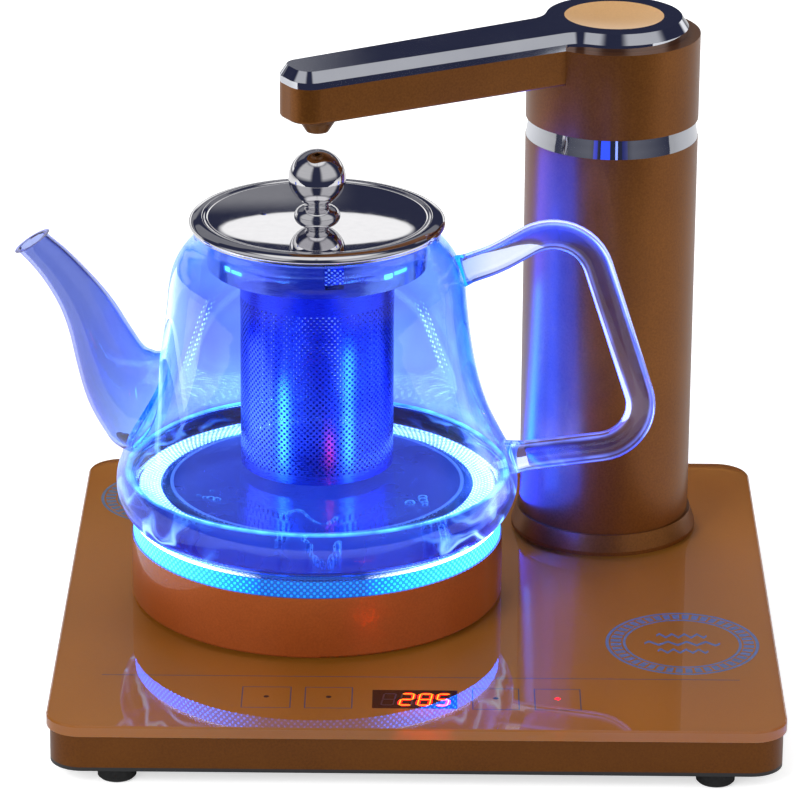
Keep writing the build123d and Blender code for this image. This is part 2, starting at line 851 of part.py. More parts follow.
with BuildPart() as deck_screws:
    for turn in (45, 135, 225, 315):
        place = (
            column_x + column_screw_circle * cos(radians(turn)),
            column_y + column_screw_circle * sin(radians(turn)),
        )
        column(place, deck_screw_head / 2, deck_bottom - deck_screw_head_height, deck_bottom)
        column(place, cover_screw / 2, deck_bottom, panel_bottom + column_screw_grip)
    for place in board_post_places:
        column(place, deck_screw_head / 2, board_bottom - deck_screw_head_height, board_bottom)
        column(place, cover_screw / 2, board_bottom, board_level + board_screw_grip)
export(deck_screws, "deck_screws")

with BuildPart() as chrome_ring:
    turned(
        column_axis,
        (
            (column_inner - ring_wall, ring_bottom),
            (column_radius - ring_edge, ring_bottom),
            (ring_top_radius, ring_top),
            (column_inner - ring_wall, ring_top),
        ),
    )
export(chrome_ring, "chrome_ring")

# ---- Pump inside the column --------------------------------------------------------------------
bracket_bottom = top + bracket_height
pump_bottom = bracket_bottom + bracket_thickness
pump_top = pump_bottom + pump_height
cover_top = pump_top + pump_cover_thickness
outlet_axis = (column_x + outlet_place, column_y)
impeller_bottom = pump_bottom + pump_wall + impeller_gap
shaft_top = impeller_bottom + shaft_length
with BuildPart() as pump_bracket:
    column(column_axis, column_inner - slip_gap, bracket_bottom, pump_bottom)
    for turn in bracket_leg_turns:
        place = (
            column_x + bracket_leg_circle * cos(radians(turn)),
            column_y + bracket_leg_circle * sin(radians(turn)),
        )
        column(place, bracket_leg / 2, tube_bottom, bracket_bottom)
    column(column_axis, port_radius + slip_gap, bracket_bottom, pump_bottom, Mode.SUBTRACT)
export(pump_bracket, "pump_bracket")

with BuildPart() as pump_housing:
    column(column_axis, pump_radius, pump_bottom, pump_top)
    column(outlet_axis, outlet_boss, pump_bottom, pump_top)
    link = (column_x + (outlet_place + outlet_link) / 2, column_y)
    slab(link, (outlet_place - outlet_link, 2 * outlet_boss), pump_bottom, pump_top)
    column(outlet_axis, port_radius, pump_top, pump_top + port_length)
    column(column_axis, port_radius, pump_bottom - port_length, pump_bottom)
    column(column_axis, pump_radius - pump_wall, pump_bottom + pump_wall, pump_top, Mode.SUBTRACT)
    column(column_axis, port_bore, pump_bottom - port_length, pump_bottom + pump_wall, Mode.SUBTRACT)
    column(outlet_axis, port_bore, pump_bottom + pump_wall, pump_top + port_length, Mode.SUBTRACT)
    chamber = pump_radius - pump_wall - port_bore
    passage = (column_x + (chamber + outlet_place) / 2, column_y, pump_bottom + pump_height / 2)
    with Locations(Plane(passage, z_dir=(1, 0, 0))):
        Cylinder(port_bore, outlet_place - chamber, mode=Mode.SUBTRACT)
export(pump_housing, "pump_housing")

with BuildPart() as pump_cover:
    ring(column_axis, pump_radius, shaft_radius + running_gap, pump_top, cover_top)
export(pump_cover, "pump_cover")

with BuildPart() as pump_motor:
    column(column_axis, motor_radius, cover_top, cover_top + motor_height)
    column(column_axis, shaft_radius + running_gap, cover_top, shaft_top + running_gap, Mode.SUBTRACT)
export(pump_motor, "pump_motor")

with BuildPart() as pump_impeller:
    column(column_axis, impeller_hub, impeller_bottom, impeller_bottom + impeller_height)
    with Locations((column_x, column_y, impeller_bottom)):
        with PolarLocations(0, blade_count):
            Box(impeller_radius, impeller_blade, impeller_height, align=(Align.MIN, Align.CENTER, Align.MIN))
        Cylinder(impeller_radius, impeller_disc, align=base_align)
    column(column_axis, shaft_radius, impeller_bottom, impeller_bottom + impeller_height, Mode.SUBTRACT)
export(pump_impeller, "pump_impeller")

with BuildPart() as pump_shaft:
    column(column_axis, shaft_radius, impeller_bottom, shaft_top)
export(pump_shaft, "pump_shaft")

# ---- Hoses -------------------------------------------------------------------------------------


def hose(name, points, bends):
    """Hose of one bore along straight runs joined by tangent arcs."""
    with BuildPart() as tube:
        with BuildLine():
            route = FilletPolyline(*points, radius=bends) if bends else Line(*points)
        with BuildSketch(Plane(route @ 0, z_dir=route % 0)):
            Circle(hose_radius)
            Circle(port_radius, mode=Mode.SUBTRACT)
        sweep()
    export(tube, name)


barb_inner = back_wall - barb_tail
hose(
    "inlet_hose",
    (
        (column_x, barb_inner + hose_grip, barb_level),
        (column_x, column_y, barb_level),
        (column_x, column_y, bracket_bottom - hose_gap),
    ),
    [inlet_bend],
)
post_flange_bottom = ring_bottom - post_flange
hose(
    "riser_hose",
    (
        (outlet_axis[0], column_y, cover_top + riser_start),
        (outlet_axis[0], column_y, post_flange_bottom - riser_corners[0]),
        (column_x, column_y, post_flange_bottom - riser_corners[1]),
        (column_x, column_y, post_flange_bottom - hose_gap),
    ),
    [riser_bend, riser_bend],
)

# ---- Rear connections --------------------------------------------------------------------------
with BuildPart() as inlet_barb:
    with BuildSketch(Plane((column_x, back_wall, barb_level), z_dir=(0, 1, 0))) as section:
        Circle(barb_flange)
        Circle(port_bore, mode=Mode.SUBTRACT)
    extrude(section.sketch, amount=barb_flange_thickness)
    with BuildSketch(Plane((column_x, barb_inner, barb_level), z_dir=(0, 1, 0))) as inner_tail:
        Circle(port_radius)
        Circle(port_bore, mode=Mode.SUBTRACT)
    extrude(inner_tail.sketch, amount=back_wall - skirt_wall - barb_inner)
    with BuildSketch(Plane((column_x, back_wall - skirt_wall, barb_level), z_dir=(0, 1, 0))) as outer_tail:
        Circle(barb_radius)
        Circle(port_bore, mode=Mode.SUBTRACT)
    extrude(outer_tail.sketch, amount=skirt_wall + barb_reach)
export(inlet_barb, "inlet_barb")

with BuildPart() as cord_gland:
    gland_place = tray_x - gland_left
    with BuildSketch(Plane((gland_place, back_wall, barb_level), z_dir=(0, 1, 0))) as section:
        Circle(gland_radius)
        Circle(gland_bore, mode=Mode.SUBTRACT)
    extrude(section.sketch, amount=gland_reach)
    neck_place = (gland_place, back_wall - gland_neck_depth, barb_level)
    with BuildSketch(Plane(neck_place, z_dir=(0, 1, 0))) as section:
        Circle(gland_neck)
        Circle(gland_bore, mode=Mode.SUBTRACT)
    extrude(section.sketch, amount=gland_neck_depth)
export(cord_gland, "cord_gland")

# ---- Swivel post -------------------------------------------------------------------------------
clip_bottom = head_bottom + head_hub_height - clip_room + clip_gap
post_end = head_bottom + head_hub_height + post_rise
with BuildPart() as swivel_post:
    column(column_axis, column_inner - slip_gap, post_flange_bottom, ring_bottom)
    column(column_axis, column_inner - ring_wall - slip_gap, ring_bottom, ring_bottom + post_shoulder)
    column(column_axis, post_radius, ring_bottom + post_shoulder, post_end)
    column(column_axis, port_radius, post_flange_bottom - post_spigot, post_flange_bottom)
    column(column_axis, port_bore, post_flange_bottom - post_spigot, post_end, Mode.SUBTRACT)
    with BuildSketch(Plane.XY.offset(clip_bottom)) as groove:
        with Locations(column_axis):
            Circle(post_radius)
            Circle(post_radius - clip_depth, mode=Mode.SUBTRACT)
    extrude(groove.sketch, amount=clip_thickness, mode=Mode.SUBTRACT)
    with BuildSketch(Plane.XY.offset(post_end - seal_drop)) as seal_groove:
        with Locations(column_axis):
            Circle(post_radius)
            Circle(post_radius - 2 * seal_section, mode=Mode.SUBTRACT)
    extrude(seal_groove.sketch, amount=2 * seal_section, mode=Mode.SUBTRACT)
export(swivel_post, "swivel_post")

with BuildPart() as swivel_clip:
    ring(column_axis, clip_radius, post_radius - clip_depth, clip_bottom, clip_bottom + clip_thickness)
export(swivel_clip, "swivel_clip")

with BuildPart() as swivel_seal:
    with Locations((column_x, column_y, post_end - seal_drop + seal_section)):
        Torus(post_radius - seal_section, seal_section)
export(swivel_seal, "swivel_seal")

# ---- Head and arm ------------------------------------------------------------------------------
hub_top = head_bottom + head_hub_height
arm_aim = (cos(radians(arm_angle)), sin(radians(arm_angle)), 0)


def arm_plane(height):
    """Level plane on the column axis whose X axis runs along the arm."""
    return Plane((column_x, column_y, height), x_dir=arm_aim, z_dir=(0, 0, 1))


def arm_shape(start, shrink):
    """Arm outline in the active sketch, from a distance out to its rounded end, narrower by a shrink."""
    end = arm_reach + arm_end - shrink
    slope = (arm_root_half_width - arm_half_width) / (arm_reach + arm_end - column_radius)
    near = arm_root_half_width + slope * (column_radius - start) - shrink
    far = arm_half_width - shrink
    with BuildSketch(Plane.XY) as shape:
        Polygon((start, near), (start, -near), (end, -far), (end, far), align=None)
        fillet(shape.vertices().group_by(Axis.X)[-1], radius=arm_end_corner - shrink)
    return shape.sketch


def arm_outline(height, start, shrink):
    """Level outline of the arm at a height."""
    return arm_plane(height) * arm_shape(start, shrink)


with BuildPart() as head_shell:
    ring(column_axis, column_radius, post_radius + running_gap, head_bottom, head_bottom + head_floor)
    ring(column_axis, column_radius, column_radius - head_wall, head_bottom, head_top)
    ring(column_axis, head_hub_radius, post_radius + running_gap, head_bottom, hub_top)
    column(column_axis, clip_radius + clip_gap, hub_top - clip_room, hub_top, Mode.SUBTRACT)
    ring(column_axis, column_radius, trim_disc_radius - head_ledge[0], head_top - head_ledge[1], head_top)
    extrude(arm_outline(arm_bottom, arm_root, 0), amount=arm_height, mode=Mode.SUBTRACT)
export(head_shell, "head_shell")

elbow_top = hub_top + elbow_height
with BuildPart() as swivel_elbow:
    column(column_axis, head_hub_radius, hub_top, hub_top + elbow_flange)
    column(column_axis, elbow_radius, hub_top + elbow_flange, elbow_top)
    with BuildSketch(Plane((column_x, column_y, hose_level), x_dir=(0, 0, 1), z_dir=arm_aim)) as spigot:
        Circle(port_radius)
    extrude(spigot.sketch, amount=elbow_radius + elbow_spigot)
    column(column_axis, post_radius + running_gap, hub_top, post_end + elbow_gap, Mode.SUBTRACT)
    column(column_axis, port_radius, post_end + elbow_gap, hose_level + port_bore, Mode.SUBTRACT)
    with BuildSketch(Plane((column_x, column_y, hose_level), x_dir=(0, 0, 1), z_dir=arm_aim)) as bore:
        Circle(port_bore)
    extrude(bore.sketch, amount=elbow_radius + elbow_spigot, mode=Mode.SUBTRACT)
export(swivel_elbow, "swivel_elbow")

arm_post_places = [
    (distance, side * arm_screw_offset) for distance in arm_screw_places for side in (-1, 1)
]
with BuildPart() as arm_shell:
    extrude(arm_outline(arm_bottom, arm_root, 0), amount=arm_height)
    bottom_edges = arm_shell.faces().sort_by(Axis.Z)[0].edges()
    outer_edges = bottom_edges.filter_by(
        lambda edge: arm_plane(0).to_local_coords(edge.center()).X > column_radius
    )
    fillet(outer_edges, radius=arm_fillet)
    hollow = arm_outline(arm_bottom + arm_wall, arm_root - arm_wall, arm_wall)
    extrude(hollow, amount=arm_height, mode=Mode.SUBTRACT)
    with BuildSketch(arm_plane(arm_bottom + arm_wall)) as posts:
        with Locations(*arm_post_places):
            Circle(arm_post)
    extrude(posts.sketch, amount=arm_height - arm_wall)
    with BuildSketch(arm_plane(arm_bottom)) as holes:
        with Locations(*arm_post_places):
            Circle(arm_screw / 2)
        with Locations((arm_reach, 0)):
            Circle(nozzle_stem)
    extrude(holes.sketch, amount=arm_height, mode=Mode.SUBTRACT)
    with BuildSketch(arm_plane(arm_bottom)) as heads:
        with Locations(*arm_post_places):
            Circle(arm_screw_head / 2)
    extrude(heads.sketch, amount=arm_screw_head_height, mode=Mode.SUBTRACT)
export(arm_shell, "arm_shell")

with BuildPart() as arm_screws:
    with BuildSketch(arm_plane(arm_bottom)) as heads:
        with Locations(*arm_post_places):
            Circle(arm_screw_head / 2)
    extrude(heads.sketch, amount=arm_screw_head_height)
    with BuildSketch(arm_plane(arm_bottom + arm_screw_head_height)) as shanks:
        with Locations(*arm_post_places):
            Circle(arm_screw / 2)
    extrude(shanks.sketch, amount=arm_height - arm_screw_head_height + arm_screw_grip)
export(arm_screws, "arm_screws")


def trim_outline(height, shrink):
    """Outline of the plated top trim: a disc on the head and the bar along the arm, with blended corners."""
    with BuildSketch(Plane.XY) as shape:
        Circle(trim_disc_radius - shrink)
        add(arm_shape(0, shrink))
        corners = shape.vertices().filter_by(lambda corner: arm_root < corner.X < column_radius)
        fillet(corners, radius=trim_blend + shrink)
    return arm_plane(height) * shape.sketch


with BuildPart() as arm_trim:
    extrude(trim_outline(head_top, 0), amount=trim_band)
    loft([trim_outline(head_top + trim_band, 0), trim_outline(trim_top, trim_chamfer_width)], ruled=True)
    column(column_axis, cap_radius, trim_top - cap_depth, trim_top, Mode.SUBTRACT)
    with BuildSketch(arm_plane(head_top)) as pilots:
        with Locations(*arm_post_places):
            Circle(arm_screw / 2)
    extrude(pilots.sketch, amount=arm_screw_pilot, mode=Mode.SUBTRACT)
export(arm_trim, "arm_trim")

with BuildPart() as head_cap:
    column(column_axis, cap_radius, trim_top - cap_depth, trim_top)
    dish_radius = (cap_radius**2 + cap_dish**2) / (2 * cap_dish)
    with Locations((column_x, column_y, trim_top - cap_dish + dish_radius)):
        Sphere(dish_radius, mode=Mode.SUBTRACT)
export(head_cap, "head_cap")

nozzle_axis = (column_x + arm_reach * arm_aim[0], column_y + arm_reach * arm_aim[1])
nozzle_inlet = Plane((*nozzle_axis, hose_level), x_dir=(0, 0, 1), z_dir=(-arm_aim[0], -arm_aim[1], 0))
with BuildPart() as nozzle:
    turned(
        nozzle_axis,
        (
            (0, arm_bottom - nozzle_drop),
            (nozzle_tip, arm_bottom - nozzle_drop),
            (nozzle_top, arm_bottom - nozzle_rim),
            (nozzle_top, arm_bottom),
            (nozzle_stem, arm_bottom),
            (nozzle_stem, arm_bottom + arm_wall),
            (nozzle_block, arm_bottom + arm_wall),
            (nozzle_block, hose_level + nozzle_block),
            (0, hose_level + nozzle_block),
        ),
    )
    with BuildSketch(nozzle_inlet) as tail:
        Circle(port_radius)
    extrude(tail.sketch, amount=nozzle_block + nozzle_tail)
    column(nozzle_axis, port_bore, arm_bottom - nozzle_drop, hose_level, Mode.SUBTRACT)
    with BuildSketch(nozzle_inlet) as bore:
        Circle(port_bore)
    extrude(bore.sketch, amount=nozzle_block + nozzle_tail, mode=Mode.SUBTRACT)
export(nozzle, "nozzle")

hose_from = elbow_radius + hose_gap
hose_to = arm_reach - nozzle_block - hose_gap
hose(
    "arm_hose",
    (
        (column_x + hose_from * arm_aim[0], column_y + hose_from * arm_aim[1], hose_level),
        (column_x + hose_to * arm_aim[0], column_y + hose_to * arm_aim[1], hose_level),
    ),
    None,
)
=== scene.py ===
"""Automatic tea maker: a lit glass kettle on a glass-topped tray, and a column with a swinging filler arm."""

import math

import bpy
from mathutils import Matrix, Vector


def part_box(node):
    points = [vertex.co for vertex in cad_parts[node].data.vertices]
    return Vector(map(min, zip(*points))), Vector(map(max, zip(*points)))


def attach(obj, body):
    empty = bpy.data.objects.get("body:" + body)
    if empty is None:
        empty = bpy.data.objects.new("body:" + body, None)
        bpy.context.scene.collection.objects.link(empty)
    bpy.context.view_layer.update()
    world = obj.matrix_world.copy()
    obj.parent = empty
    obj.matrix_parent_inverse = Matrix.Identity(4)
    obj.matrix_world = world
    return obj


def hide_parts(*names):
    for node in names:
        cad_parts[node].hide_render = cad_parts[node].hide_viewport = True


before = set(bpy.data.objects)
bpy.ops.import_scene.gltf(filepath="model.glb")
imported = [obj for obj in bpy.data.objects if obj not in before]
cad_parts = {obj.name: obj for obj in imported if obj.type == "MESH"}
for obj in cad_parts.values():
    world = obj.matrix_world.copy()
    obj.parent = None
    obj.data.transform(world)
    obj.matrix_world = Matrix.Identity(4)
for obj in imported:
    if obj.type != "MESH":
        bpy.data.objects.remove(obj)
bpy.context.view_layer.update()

MM = 0.001
TURN = 2 * math.pi
UP = (0, 0, 1)
WELD = 0.00001  # points nearer than this are one
NOISE = (0.3, 0.7)  # nearly all values of a noise lie between these


def link(name, data):
    """Puts a new object with this data in the scene."""
    made = bpy.data.objects.new(name, data)
    bpy.context.scene.collection.objects.link(made)
    return made


# ---- Camera ----
camera_place = Vector((9.50, -1838.38, 805.82)) * MM
camera_down, camera_aside, camera_roll = math.radians(20.873), math.radians(-0.248), math.radians(0.4)
camera = link("camera", bpy.data.cameras.new("camera"))
camera.data.lens = 220.13
camera.data.clip_end = 30
camera.matrix_world = (
    Matrix.Translation(camera_place)
    @ Matrix.Rotation(-camera_aside, 4, "Z")
    @ Matrix.Rotation(math.pi / 2 - camera_down, 4, "X")
    @ Matrix.Rotation(camera_roll, 4, "Z")
)
bpy.context.scene.camera = camera
bpy.context.scene.view_settings.view_transform = "Standard"


# ---- Places, all in millimetres, from the boxes of the model's parts ----
def middle(node):
    """Middle of a node's box."""
    low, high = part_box(node)
    return (low + high) / 2 / MM


def level(node, end):
    """Lowest (0) or highest (1) level of a node."""
    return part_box(node)[end].z / MM


def toward(turn):
    """Level direction, by its turn from the front in degrees."""
    return Vector((math.sin(math.radians(turn)), -math.cos(math.radians(turn)), 0))


kettle = middle("base_shell")
column = middle("column_tube")
tray = middle("glass_panel")
glass_top = level("glass_panel", 1)
front_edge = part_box("glass_panel")[0].y / MM
base_top = level("base_shell", 1)
mouth = level("kettle_glass", 1)
flange_top = level("infuser_collar", 1)


# ---- Materials ----
def colour(code):
    """A hex sRGB colour as the linear one that shaders use."""
    parts = [int(code[i:i + 2], 16) / 255 for i in (1, 3, 5)]
    return (*[p / 12.92 if p <= 0.04045 else ((p + 0.055) / 1.055) ** 2.4 for p in parts], 1)


def feed(socket, value):
    """Gives an input a plain value, a hex colour, or the output that feeds it."""
    if isinstance(value, bpy.types.NodeSocket):
        socket.id_data.links.new(value, socket)
    else:
        socket.default_value = colour(value) if isinstance(value, str) else value


def give(node, **values):
    """Feeds inputs of a node by name, an underscore for each space."""
    for name, value in values.items():
        feed(node.inputs[name.replace("_", " ")], value)


def add(tree, kind, *values, out=None, **named):
    """Adds a shader node, such as "TexNoise" or "Math.ADD", and returns its first output, or that called out.
    Inputs are fed in their order or by name. Values left over go with the result into a further node of the
    same kind, so that one call adds or multiplies many."""
    family, _, choice = kind.partition(".")
    made = tree.nodes.new("ShaderNode" + family)
    if choice:
        setattr(made, {"Mix": "data_type", "MapRange": "interpolation_type"}.get(family, "operation"), choice)
    inputs = [socket for socket in made.inputs if socket.enabled]
    for socket, value in zip(inputs, values):
        feed(socket, value)
    give(made, **named)
    result = made.outputs[out] if out else next((socket for socket in made.outputs if socket.enabled), None)
    rest = values[len(inputs):]
    return add(tree, kind, result, *rest) if rest else result


def start(name, **values):
    """A new material with one Principled shader, its values given by name."""
    made = bpy.data.materials.new(name)
    made.use_nodes = True
    tree = made.node_tree
    tree.nodes.clear()
    shader = add(tree, "BsdfPrincipled", **values).node
    add(tree, "OutputMaterial", shader.outputs[0])
    return made, tree, shader


def grain(tree, size, detail=3.0, stretch=(1, 1, 1)):
    """Noise whose grain is about size millimetres across, stretched along an axis."""
    place = add(tree, "VectorMath.MULTIPLY", add(tree, "TexCoord", out="Object"), stretch)
    return add(tree, "TexNoise", place, 1 / (size * MM), detail)


def band(tree, value, low, high, soft):
    """1 where a value lies between two limits, with soft ends."""
    rise = add(tree, "MapRange.SMOOTHSTEP", value, low - soft, low + soft)
    fall = add(tree, "MapRange.SMOOTHSTEP", value, high - soft, high + soft, 1.0, 0.0)
    return add(tree, "Math.MULTIPLY", rise, fall)


def about_kettle(tree):
    """Places measured from the kettle's axis: east, north, the height, how far aside, and the radius."""
    place = add(tree, "SeparateXYZ", add(tree, "TexCoord", out="Object")).node.outputs
    east = add(tree, "Math.ADD", place[0], -kettle.x * MM)
    north = add(tree, "Math.ADD", place[1], -kettle.y * MM)
    radius = add(tree, "VectorMath.LENGTH", add(tree, "CombineXYZ", east, north))
    return east, north, place[2], add(tree, "Math.ABSOLUTE", east), radius


def lets_light_through(tree, shader, tone):
    """Shadow rays pass the material, so that lamps reach what lies behind it."""
    onward = shader.outputs[0].links[0].to_socket
    shadow_ray = add(tree, "LightPath", out="Is Shadow Ray")
    feed(onward, add(tree, "MixShader", shadow_ray, shader.outputs[0], add(tree, "BsdfTransparent", tone)))


def surface(name, dark, light, size, rough=(0.3, 0.4), bump=0.0, **values):
    """A finish of two close colours and two roughnesses over noise of the given grain, in millimetres."""
    made, tree, shader = start(name, **values)
    noise = grain(tree, size)
    give(shader, Base_Color=add(tree, "Mix.RGBA", noise, dark, light))
    give(shader, Roughness=add(tree, "MapRange", noise, *NOISE, *rough))
    if bump:
        give(shader, Normal=add(tree, "Bump", Strength=1.0, Distance=bump * MM, Height=noise))
    return made


def brushed(name, dark, light, rough):
    """Spun or rolled metal: faint streaks round its axis, in a mirror as sharp as its roughness allows."""
    made, tree, shader = start(name, Metallic=1.0)
    streaks = grain(tree, 4.0, 4.0, (1, 1, 8))
    give(shader, Base_Color=add(tree, "Mix.RGBA", streaks, dark, light))
    give(shader, Roughness=add(tree, "MapRange", streaks, *NOISE, *rough))
    return made


def lacquered(name, dark, light, metallic, coat, coat_roughness):
    """Satin metallic lacquer, sprayed: flakes under a clear coat give a soft glitter and a blurred sheen.
    The real flakes are about 0.05 mm, and are drawn 0.8 mm wide so that they show."""
    made, tree, shader = start(
        name, Metallic=metallic, Coat_Weight=coat, Coat_Roughness=coat_roughness, Coat_IOR=1.5
    )
    flakes, drift = grain(tree, 0.8, 2.0), grain(tree, 45, 2.0)
    both = add(tree, "Math.ADD", add(tree, "MapRange", flakes, *NOISE, 0, 0.6),
               add(tree, "MapRange", drift, *NOISE, 0, 0.4))
    give(shader, Base_Color=add(tree, "Mix.RGBA", both, dark, light))
    give(shader, Roughness=add(tree, "MapRange", flakes, *NOISE, 0.30, 0.40))
    give(shader, Normal=add(tree, "Bump", Strength=1.0, Distance=0.004 * MM, Height=flakes))
    return made


def clear(name, size, detail, tones, shadow, **values):
    """Smooth clear stuff of two close tones over noise of the given grain, in millimetres."""
    made, tree, shader = start(name, Transmission_Weight=1.0, Roughness=0.0, **values)
    noise = grain(tree, size, detail)
    give(shader, Base_Color=add(tree, "Mix.RGBA", noise, *tones))
    lets_light_through(tree, shader, shadow)
    return made, tree, shader, noise


def lit_ring():
    """Clear PMMA light ring with moulded dimples, lit from below: its outer face is deep blue and its top
    nearly white, brightest at both sides and behind. The real dimples are about 1.2 mm apart, and are drawn
    2.5 mm apart so that they show."""
    dimples_round, dimple_rows = 180, 2.6
    made, tree, shader = start("pmma_light_ring", Roughness=0.25, IOR=1.49)
    east, north, height, aside, radius = about_kettle(tree)
    turn = add(tree, "Math.ARCTAN2", north, east)
    around = add(tree, "Math.SINE", add(tree, "Math.MULTIPLY", turn, dimples_round))
    rows = add(tree, "Math.MULTIPLY", add(tree, "Math.ADD", radius, height), TURN / (dimple_rows * MM))
    dimples = add(tree, "Math.MULTIPLY", around, add(tree, "Math.SINE", rows))
    dots = add(tree, "MapRange", dimples, 0.1, 0.8, 0.5, 2.2)
    normal = add(tree, "SeparateXYZ", add(tree, "NewGeometry", out="Normal")).node.outputs
    top = add(tree, "MapRange", normal[2], 0.3, 0.8)
    behind = add(tree, "Math.MULTIPLY", add(tree, "MapRange", north, 10 * MM, 50 * MM, 0, 0.7), top)
    sides = add(tree, "Math.MAXIMUM", add(tree, "MapRange", aside, 20 * MM, 64 * MM), behind)
    everywhere = add(tree, "MapRange", top, 0, 1, 0.9, 0.05)
    at_sides = add(tree, "Math.MULTIPLY", sides, add(tree, "MapRange", top, 0, 1, 14.0, 11.0))
    glow = add(tree, "Math.MULTIPLY", add(tree, "Math.ADD", everywhere, at_sides), dots)
    outer = add(tree, "Mix.RGBA", sides, "#0678ff", "#1c60ff")
    give(shader, Emission_Strength=glow, Emission_Color=add(tree, "Mix.RGBA", top, outer, "#c4dcff"))
    give(shader, Base_Color=add(tree, "Mix.RGBA", dots, "#06245c", "#0c4490"))
    return made


def painted_swirls(tree, low, height, aside, radius):
    """Wavy bands in the thick lower wall at both sides: light ones, which are painted highlights, and dark
    ones, which are painted shade.
    """
    wobble = add(tree, "Math.MULTIPLY", grain(tree, 30, 2.0), 4.2)
    climb = add(tree, "Math.DIVIDE", height, 13 * MM)
    climb = add(tree, "Math.ADD", climb, add(tree, "Math.DIVIDE", aside, 30 * MM), wobble)
    wave = add(tree, "Math.SINE", add(tree, "Math.MULTIPLY", climb, TURN))
    outer_wall = add(tree, "MapRange", radius, 73.5 * MM, 75 * MM)
    where = add(tree, "Math.MULTIPLY", low, outer_wall, add(tree, "MapRange", aside, 36 * MM, 56 * MM))
    light = add(tree, "Math.MULTIPLY", where, add(tree, "MapRange", wave, 0.55, 1.0))
    dark = add(tree, "Math.MULTIPLY", where, add(tree, "MapRange", wave, -0.3, 0.3, 0.95, 0))
    return light, dark


def bead_rows(tree, north, over, aside):
    """Two slanting rows of bright beads at each side of the body, where it mirrors the ring's dimples."""
    turn_low, level_low, slope, pitch = math.radians(44), 137, math.radians(0.36), 2.3
    turn = add(tree, "Math.ARCTAN2", aside, add(tree, "Math.MULTIPLY", north, -1))
    slant = add(tree, "Math.MULTIPLY", over, slope / MM)
    slant = add(tree, "Math.ADD", turn, slant, -turn_low - slope * level_low)
    rows = add(tree, "Math.MAXIMUM", band(tree, slant, -0.004, 0.008, 0.004),
               band(tree, slant, 0.05, 0.058, 0.004))
    beads = add(tree, "Math.SINE", add(tree, "Math.MULTIPLY", over, TURN / (pitch * MM)))
    beads = add(tree, "MapRange", beads, 0, 0.6, 0.1, 1.5)
    return add(tree, "Math.MULTIPLY", rows, beads, band(tree, over, 0.107, 0.135, 0.006))


def shaped_glass(name, near, far, rim_near, rim_far):
    """Borosilicate glass, blown and fire polished. The light ring feeds blue light into it, which shows as a
    deeper blue where a wall is seen along its length. Spout and handle, far from the ring, stay paler."""
    made, tree, shader = start(name, Transmission_Weight=1.0, IOR=1.47, Roughness=0.0)
    east, north, height, aside, radius = about_kettle(tree)
    over = add(tree, "Math.ADD", height, -glass_top * MM)
    facing = add(tree, "LayerWeight", 0.35, out="Facing")
    edge = add(tree, "MapRange", facing, 0.38, 0.85)
    beyond = add(tree, "MapRange", aside, 66 * MM, 92 * MM)
    rod = add(tree, "MapRange", east, 56 * MM, 70 * MM)
    low = add(tree, "MapRange", height, (base_top + 16) * MM, (base_top + 34) * MM, 1, 0)
    # painted highlight bands and painted shade bands of the swirl
    light, dark = painted_swirls(tree, low, height, aside, radius)

    low_wall = add(tree, "Math.MULTIPLY", low, add(tree, "MapRange", radius, 72.0 * MM, 73.5 * MM))
    floor_part = add(tree, "MapRange", height, (base_top + 11) * MM, (base_top + 13) * MM, 1, 0)
    floor_part = add(tree, "Math.MULTIPLY", floor_part,
                     add(tree, "MapRange", radius, 72.0 * MM, 73.5 * MM, 1, 0))
    pale = add(tree, "MapRange", height, (base_top + 30) * MM, (base_top + 78) * MM, 0.8, 0)
    tone = add(tree, "Mix.RGBA", add(tree, "MapRange", grain(tree, 34, 2.0), *NOISE), near[0], near[1])
    rim = add(tree, "Mix.RGBA", beyond, rim_near, rim_far)
    # These tones paint the ring's blue light into the glass: a slate band in the thick low wall, a nearly
    # clear floor, paler towards the top and in spout and handle, a deeper blue at the edges, and the dark
    # swirl bands as painted shade.
    for share, other in (
        (pale, "#c8e4ff"), (low_wall, near[2]), (floor_part, "#eef4ff"), (beyond, far), (rod, "#ccd4f8"),
        (edge, rim), (dark, "#1a22b4"),
    ):
        tone = add(tree, "Mix.RGBA", share, tone, other)
    give(shader, Base_Color=tone)

    ripple = add(tree, "MapRange", grain(tree, 14, 2.0), *NOISE, 0.3, 1.5)
    upward = add(tree, "MapRange", height, base_top * MM, mouth * MM, 1.0, 0.6)
    outward = add(tree, "MapRange", beyond, 0, 1, 1.0, 0.2)
    above_foot = add(tree, "MapRange", height, (base_top + 12) * MM, (base_top + 30) * MM, 0.1, 1.0)
    at_sides = add(tree, "MapRange", aside, 14 * MM, 64 * MM, 0.072, 0.6)
    share = add(tree, "Math.MAXIMUM", above_foot, at_sides)
    along_edge = add(tree, "Math.MULTIPLY", edge, ripple, upward, outward, share, 1.2)
    beads = bead_rows(tree, north, over, aside)
    # Painted highlights: a glint down the weld at the spout's root, and bright lines along the handle rod.
    weld = add(tree, "Math.MULTIPLY", band(tree, east, -62.6 * MM, -60.9 * MM, 0.5 * MM),
               band(tree, over, 0.068, 0.1, 0.004), ripple)
    lines = add(tree, "Math.MULTIPLY", band(tree, facing, 0.10, 0.17, 0.03), 0.9)
    lines = add(tree, "Math.MAXIMUM", lines, band(tree, facing, 0.34, 0.44, 0.04), 0.04)
    rod_highlights = add(tree, "Math.MULTIPLY", rod, lines, add(tree, "MapRange", ripple, 0.6, 1.2, 0.5, 1.1))
    weld_glow = add(tree, "Math.MULTIPLY", weld, 0.6)
    give(shader, Emission_Strength=add(tree, "Math.MAXIMUM", along_edge, light, beads, weld_glow, rod_highlights))

    shine = add(tree, "Mix.RGBA", beyond, "#1480ff", "#4858ff")
    shine = add(tree, "Mix.RGBA", rod, shine, "#6c84ff")
    sparks = add(tree, "Math.ADD", beads, weld, light)
    give(shader, Emission_Color=add(tree, "Mix.RGBA", sparks, shine, "#a8e6ff"))
    lets_light_through(tree, shader, "#eef2ff")
    return made


